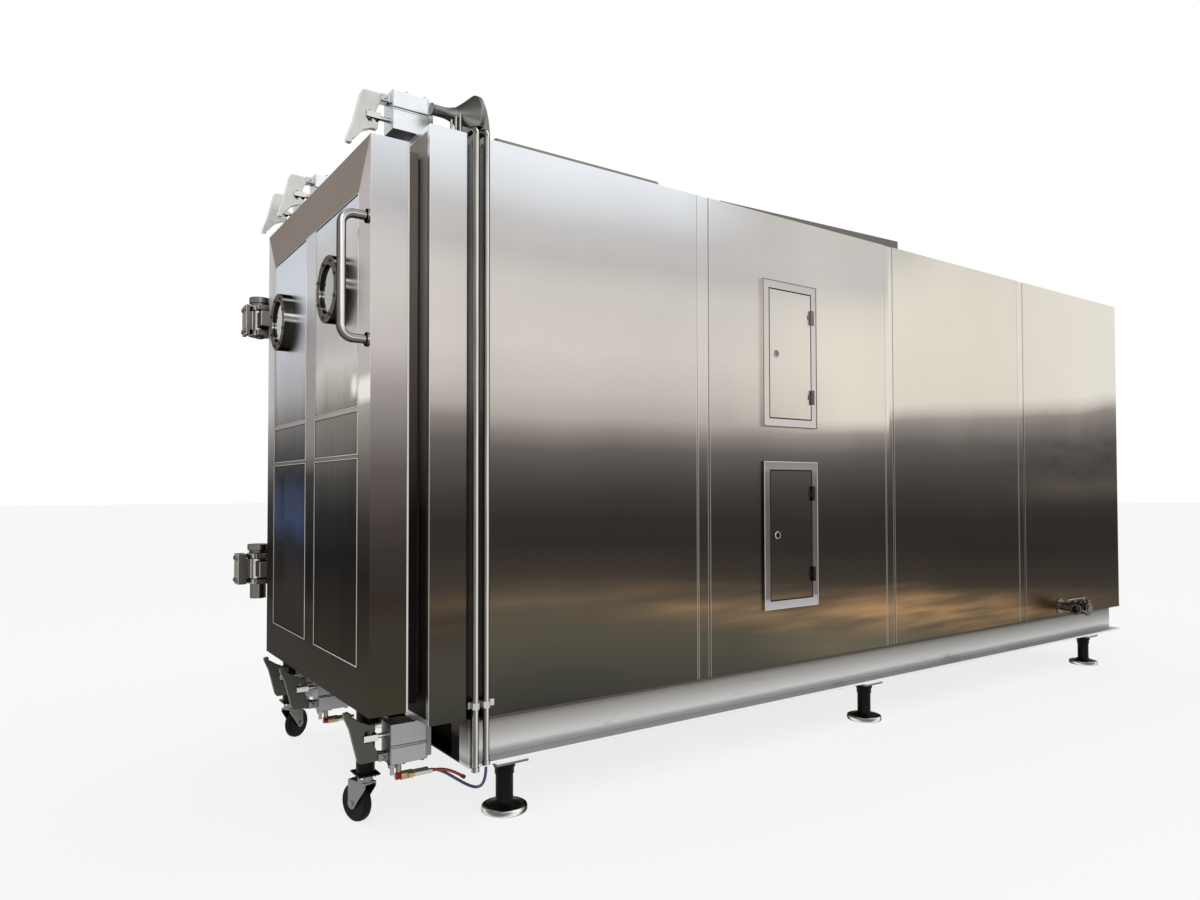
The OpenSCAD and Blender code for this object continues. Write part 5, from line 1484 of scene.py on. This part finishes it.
@dataclass
class Clamps(Assembly):
    """The six door clamps: cylinder blocks on the collar, and a lever and a rod on each."""

    front: float = -344.0
    rear: float = -193.0
    high_places: tuple[float, ...] = (635.0, -420.0, -740.0)
    low_places: tuple[float, ...] = (635.0, -315.0, -635.0)
    high_face: float = 2883.0
    low_face: float = 247.0
    split: float = 1.5
    screw_x: float = 36.0

    def build(self) -> None:
        """Finishes the blocks, levers and rods, and adds their screws."""
        # The high blocks take the lit copy of the anodised finish, as painted light, and the low ones its
        # copy in painted shade
        self.refined("clamp_cylinders", 3.0, "lit_anodised_block", "anodised_block", name="high_cylinders",
                     keep=lambda middle: middle.z > self.split)
        self.refined("clamp_cylinders", 3.0, "shaded_anodised_block", "anodised_block", name="low_cylinders",
                     keep=lambda middle: middle.z < self.split)
        for row, finish, slot in (("top", "lever_steel", "bead_blasted_steel"),
                                  ("bottom", "cast_grey", "cast_grey")):
            for place in ("near", "mid", "far"):
                lever, rod = f"clamp_lever_{row}_{place}", f"clamp_rod_{row}_{place}"
                self.refined(lever, 3.0, finish, slot, lever, 3, weld=0.35)
                self.refined(rod, 1.2, "chrome", "polished_steel", rod)
        self._screws()

    def _screws(self) -> None:
        """Sets four screws in each block's outer face."""
        places = [(spot(x + dx, y, z), facing)
                  for row, z, facing in ((self.high_places, self.high_face, Facing.UP),
                                         (self.low_places, self.low_face, Facing.DOWN))
                  for x in row for dx in (-self.screw_x, self.screw_x)
                  for y in (self.front + 60, self.rear - 14)]
        screws = Bench.scatter("clamp_block_screws", Bench.cap_screw(7, 6), places)
        self.hand_over(screws, "machine", "polished_steel", "dark_chrome")


@dataclass
class Services(Assembly):
    """The risers, the roof fittings, the ducts and the drain valve."""

    def build(self) -> None:
        """Finishes each piece."""
        self.refined("riser_pipes", 0.8, "chrome", "polished_steel")
        self.refined("pipe_straps", 0.6, "edge_bright", "clad_steel")
        self.refined("air_manifold", 2.0, "manifold_grey", "cast_grey")
        self.refined("hose_fittings", 0.8, "fitting_metal", "fitting_brass")
        self.refined("roof_ducts", 3.0, "duct_sheet", "cast_grey")
        self.refined("drain_valve", 1.5, "dark_chrome", "polished_steel")
        self.refined("drain_valve_lever", 1.2, "chrome", "polished_steel", "drain_valve_lever")


@dataclass
class Hatch(Assembly):
    """One of the two access hatches on the right side."""

    name: str = "upper"
    low: float = 1627.0
    front: float = 1535.0
    wide: float = 400.0
    tall: float = 750.0
    face: float = 847.0
    bore: float = 14.8
    rose: float = 19.0
    hinge: float = 1890.0
    hinge_reach: float = 30.0
    margin: float = 60.0
    lock_y: float = 94.0

    def build(self) -> None:
        """Finishes the door, its hinges and the lock, and lays the lines round the frame."""
        door, lock = f"hatch_door_{self.name}", f"hatch_lock_{self.name}"
        self.refined(door, 1.2, "side_sheet", "clad_steel", door, keep=lambda at: not self._in_hinge(at))
        self.refined(door, 0.4, "knuckle_grey", "clad_steel", door, name=f"hatch_knuckles_{self.name}",
                     keep=self._in_hinge)
        self.refined(lock, 0.6, "black_coat" if self.name == "lower" else "dark_chrome", "black_steel", lock)
        self.refined("hatch_frames", 0.6, "frame_sheet", "strip_steel", name=f"hatch_frame_{self.name}",
                     keep=lambda at: self._is_mine(at) and not self._in_hinge(at))
        self.refined("hatch_frames", 0.4, "knuckle_grey", "strip_steel", name=f"frame_knuckles_{self.name}",
                     keep=lambda at: self._is_mine(at) and self._in_hinge(at))
        middle = self.low + self.tall / 2
        outline = "knuckle_grey" if self.name == "upper" else "edge_bright"
        for name, inset, width, height, finish in (
                ("outer", 0, 4, 2.2, outline), ("inner", 41, 5.4, 0.9, "black_coat")):
            bead = Bench.border(f"hatch_bead_{name}_{self.name}",
                                (self.wide - 2 * inset, self.tall - 2 * inset), width, height, 0.4)
            Bench.seat(bead, spot(self.face - 0.6, self.front + self.wide / 2, middle), Facing.RIGHT)
            self.hand_over(bead, "machine", "strip_steel", finish)
        self._rose(door, middle)

    def _is_mine(self, at: Vector) -> bool:
        """Tells whether a place stands within this hatch's heights."""
        return abs(at.z - (self.low + self.tall / 2) * MM) < (self.tall / 2 + self.margin) * MM

    def _in_hinge(self, at: Vector) -> bool:
        """Tells whether a place belongs to the hinges, which stand proud of the hatch's face."""
        across, along = at.x + SHIFT_X, at.y + SHIFT_Y
        return across > (self.face + 0.4) * MM and abs(along - self.hinge * MM) < self.hinge_reach * MM

    def _rose(self, door: str, middle: float) -> None:
        """Turns the ring round the lock."""
        ring = Bench.turned(f"lock_rose_{self.name}", (
            (self.rose, 0), (self.rose, 2.5), (self.rose - 1.5, 4), (self.bore + 1, 4), (self.bore, 3),
            (self.bore, 0)), 40)
        Bench.bevel(ring, 0, smooth=40)
        Bench.seat(ring, spot(self.face, self.front + self.lock_y, middle), Facing.RIGHT)
        self.hand_over(ring, door, "polished_steel", "edge_bright" if self.name == "lower" else "chrome")


# The nodes that keep their own mesh, which are inside the machine or plain in shape
NODE_FINISHES: dict[str, str] = {
    "chamber_shell": "vessel_steel", "shell_ribs": "vessel_steel", "insulation": "foam",
    "front_flange": "flange_steel", "shelf_rack": "vessel_steel", "shelves": "vessel_steel",
    "trays": "vessel_steel", "condenser_coils": "vessel_steel", "door_plate": "plate_steel",
    "door_liner": "vessel_steel", "door_gasket": "gasket_rubber", "caster_posts": "black_coat",
    "hatch_frames": "frame_sheet",
}


def main() -> None:
    """Builds the looks in order."""
    logging.basicConfig(level=logging.INFO, format="%(message)s")
    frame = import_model()
    bpy.ops.object.select_all(action="DESELECT")
    Studio().build()
    finishes = {finish.name: finish.make() for finish in FINISHES}
    nodes = frame["nodes"]
    for assembly in (
        Cords(nodes, finishes), Body(nodes, finishes), Door(nodes, finishes), Hinges(nodes, finishes),
        Caster(nodes, finishes), Caster(nodes, finishes, "far", -740.0, -355.0, 127.0),
        Clamps(nodes, finishes), Services(nodes, finishes),
        Hatch(nodes, finishes), Hatch(nodes, finishes, "lower", 700.0),
    ):
        assembly.build()
    for name, node in nodes.items():
        node.data.materials.clear()
        node.data.materials.append(finishes[NODE_FINISHES.get(name, "vessel_steel")])


if __name__ == "__main__":
    main()
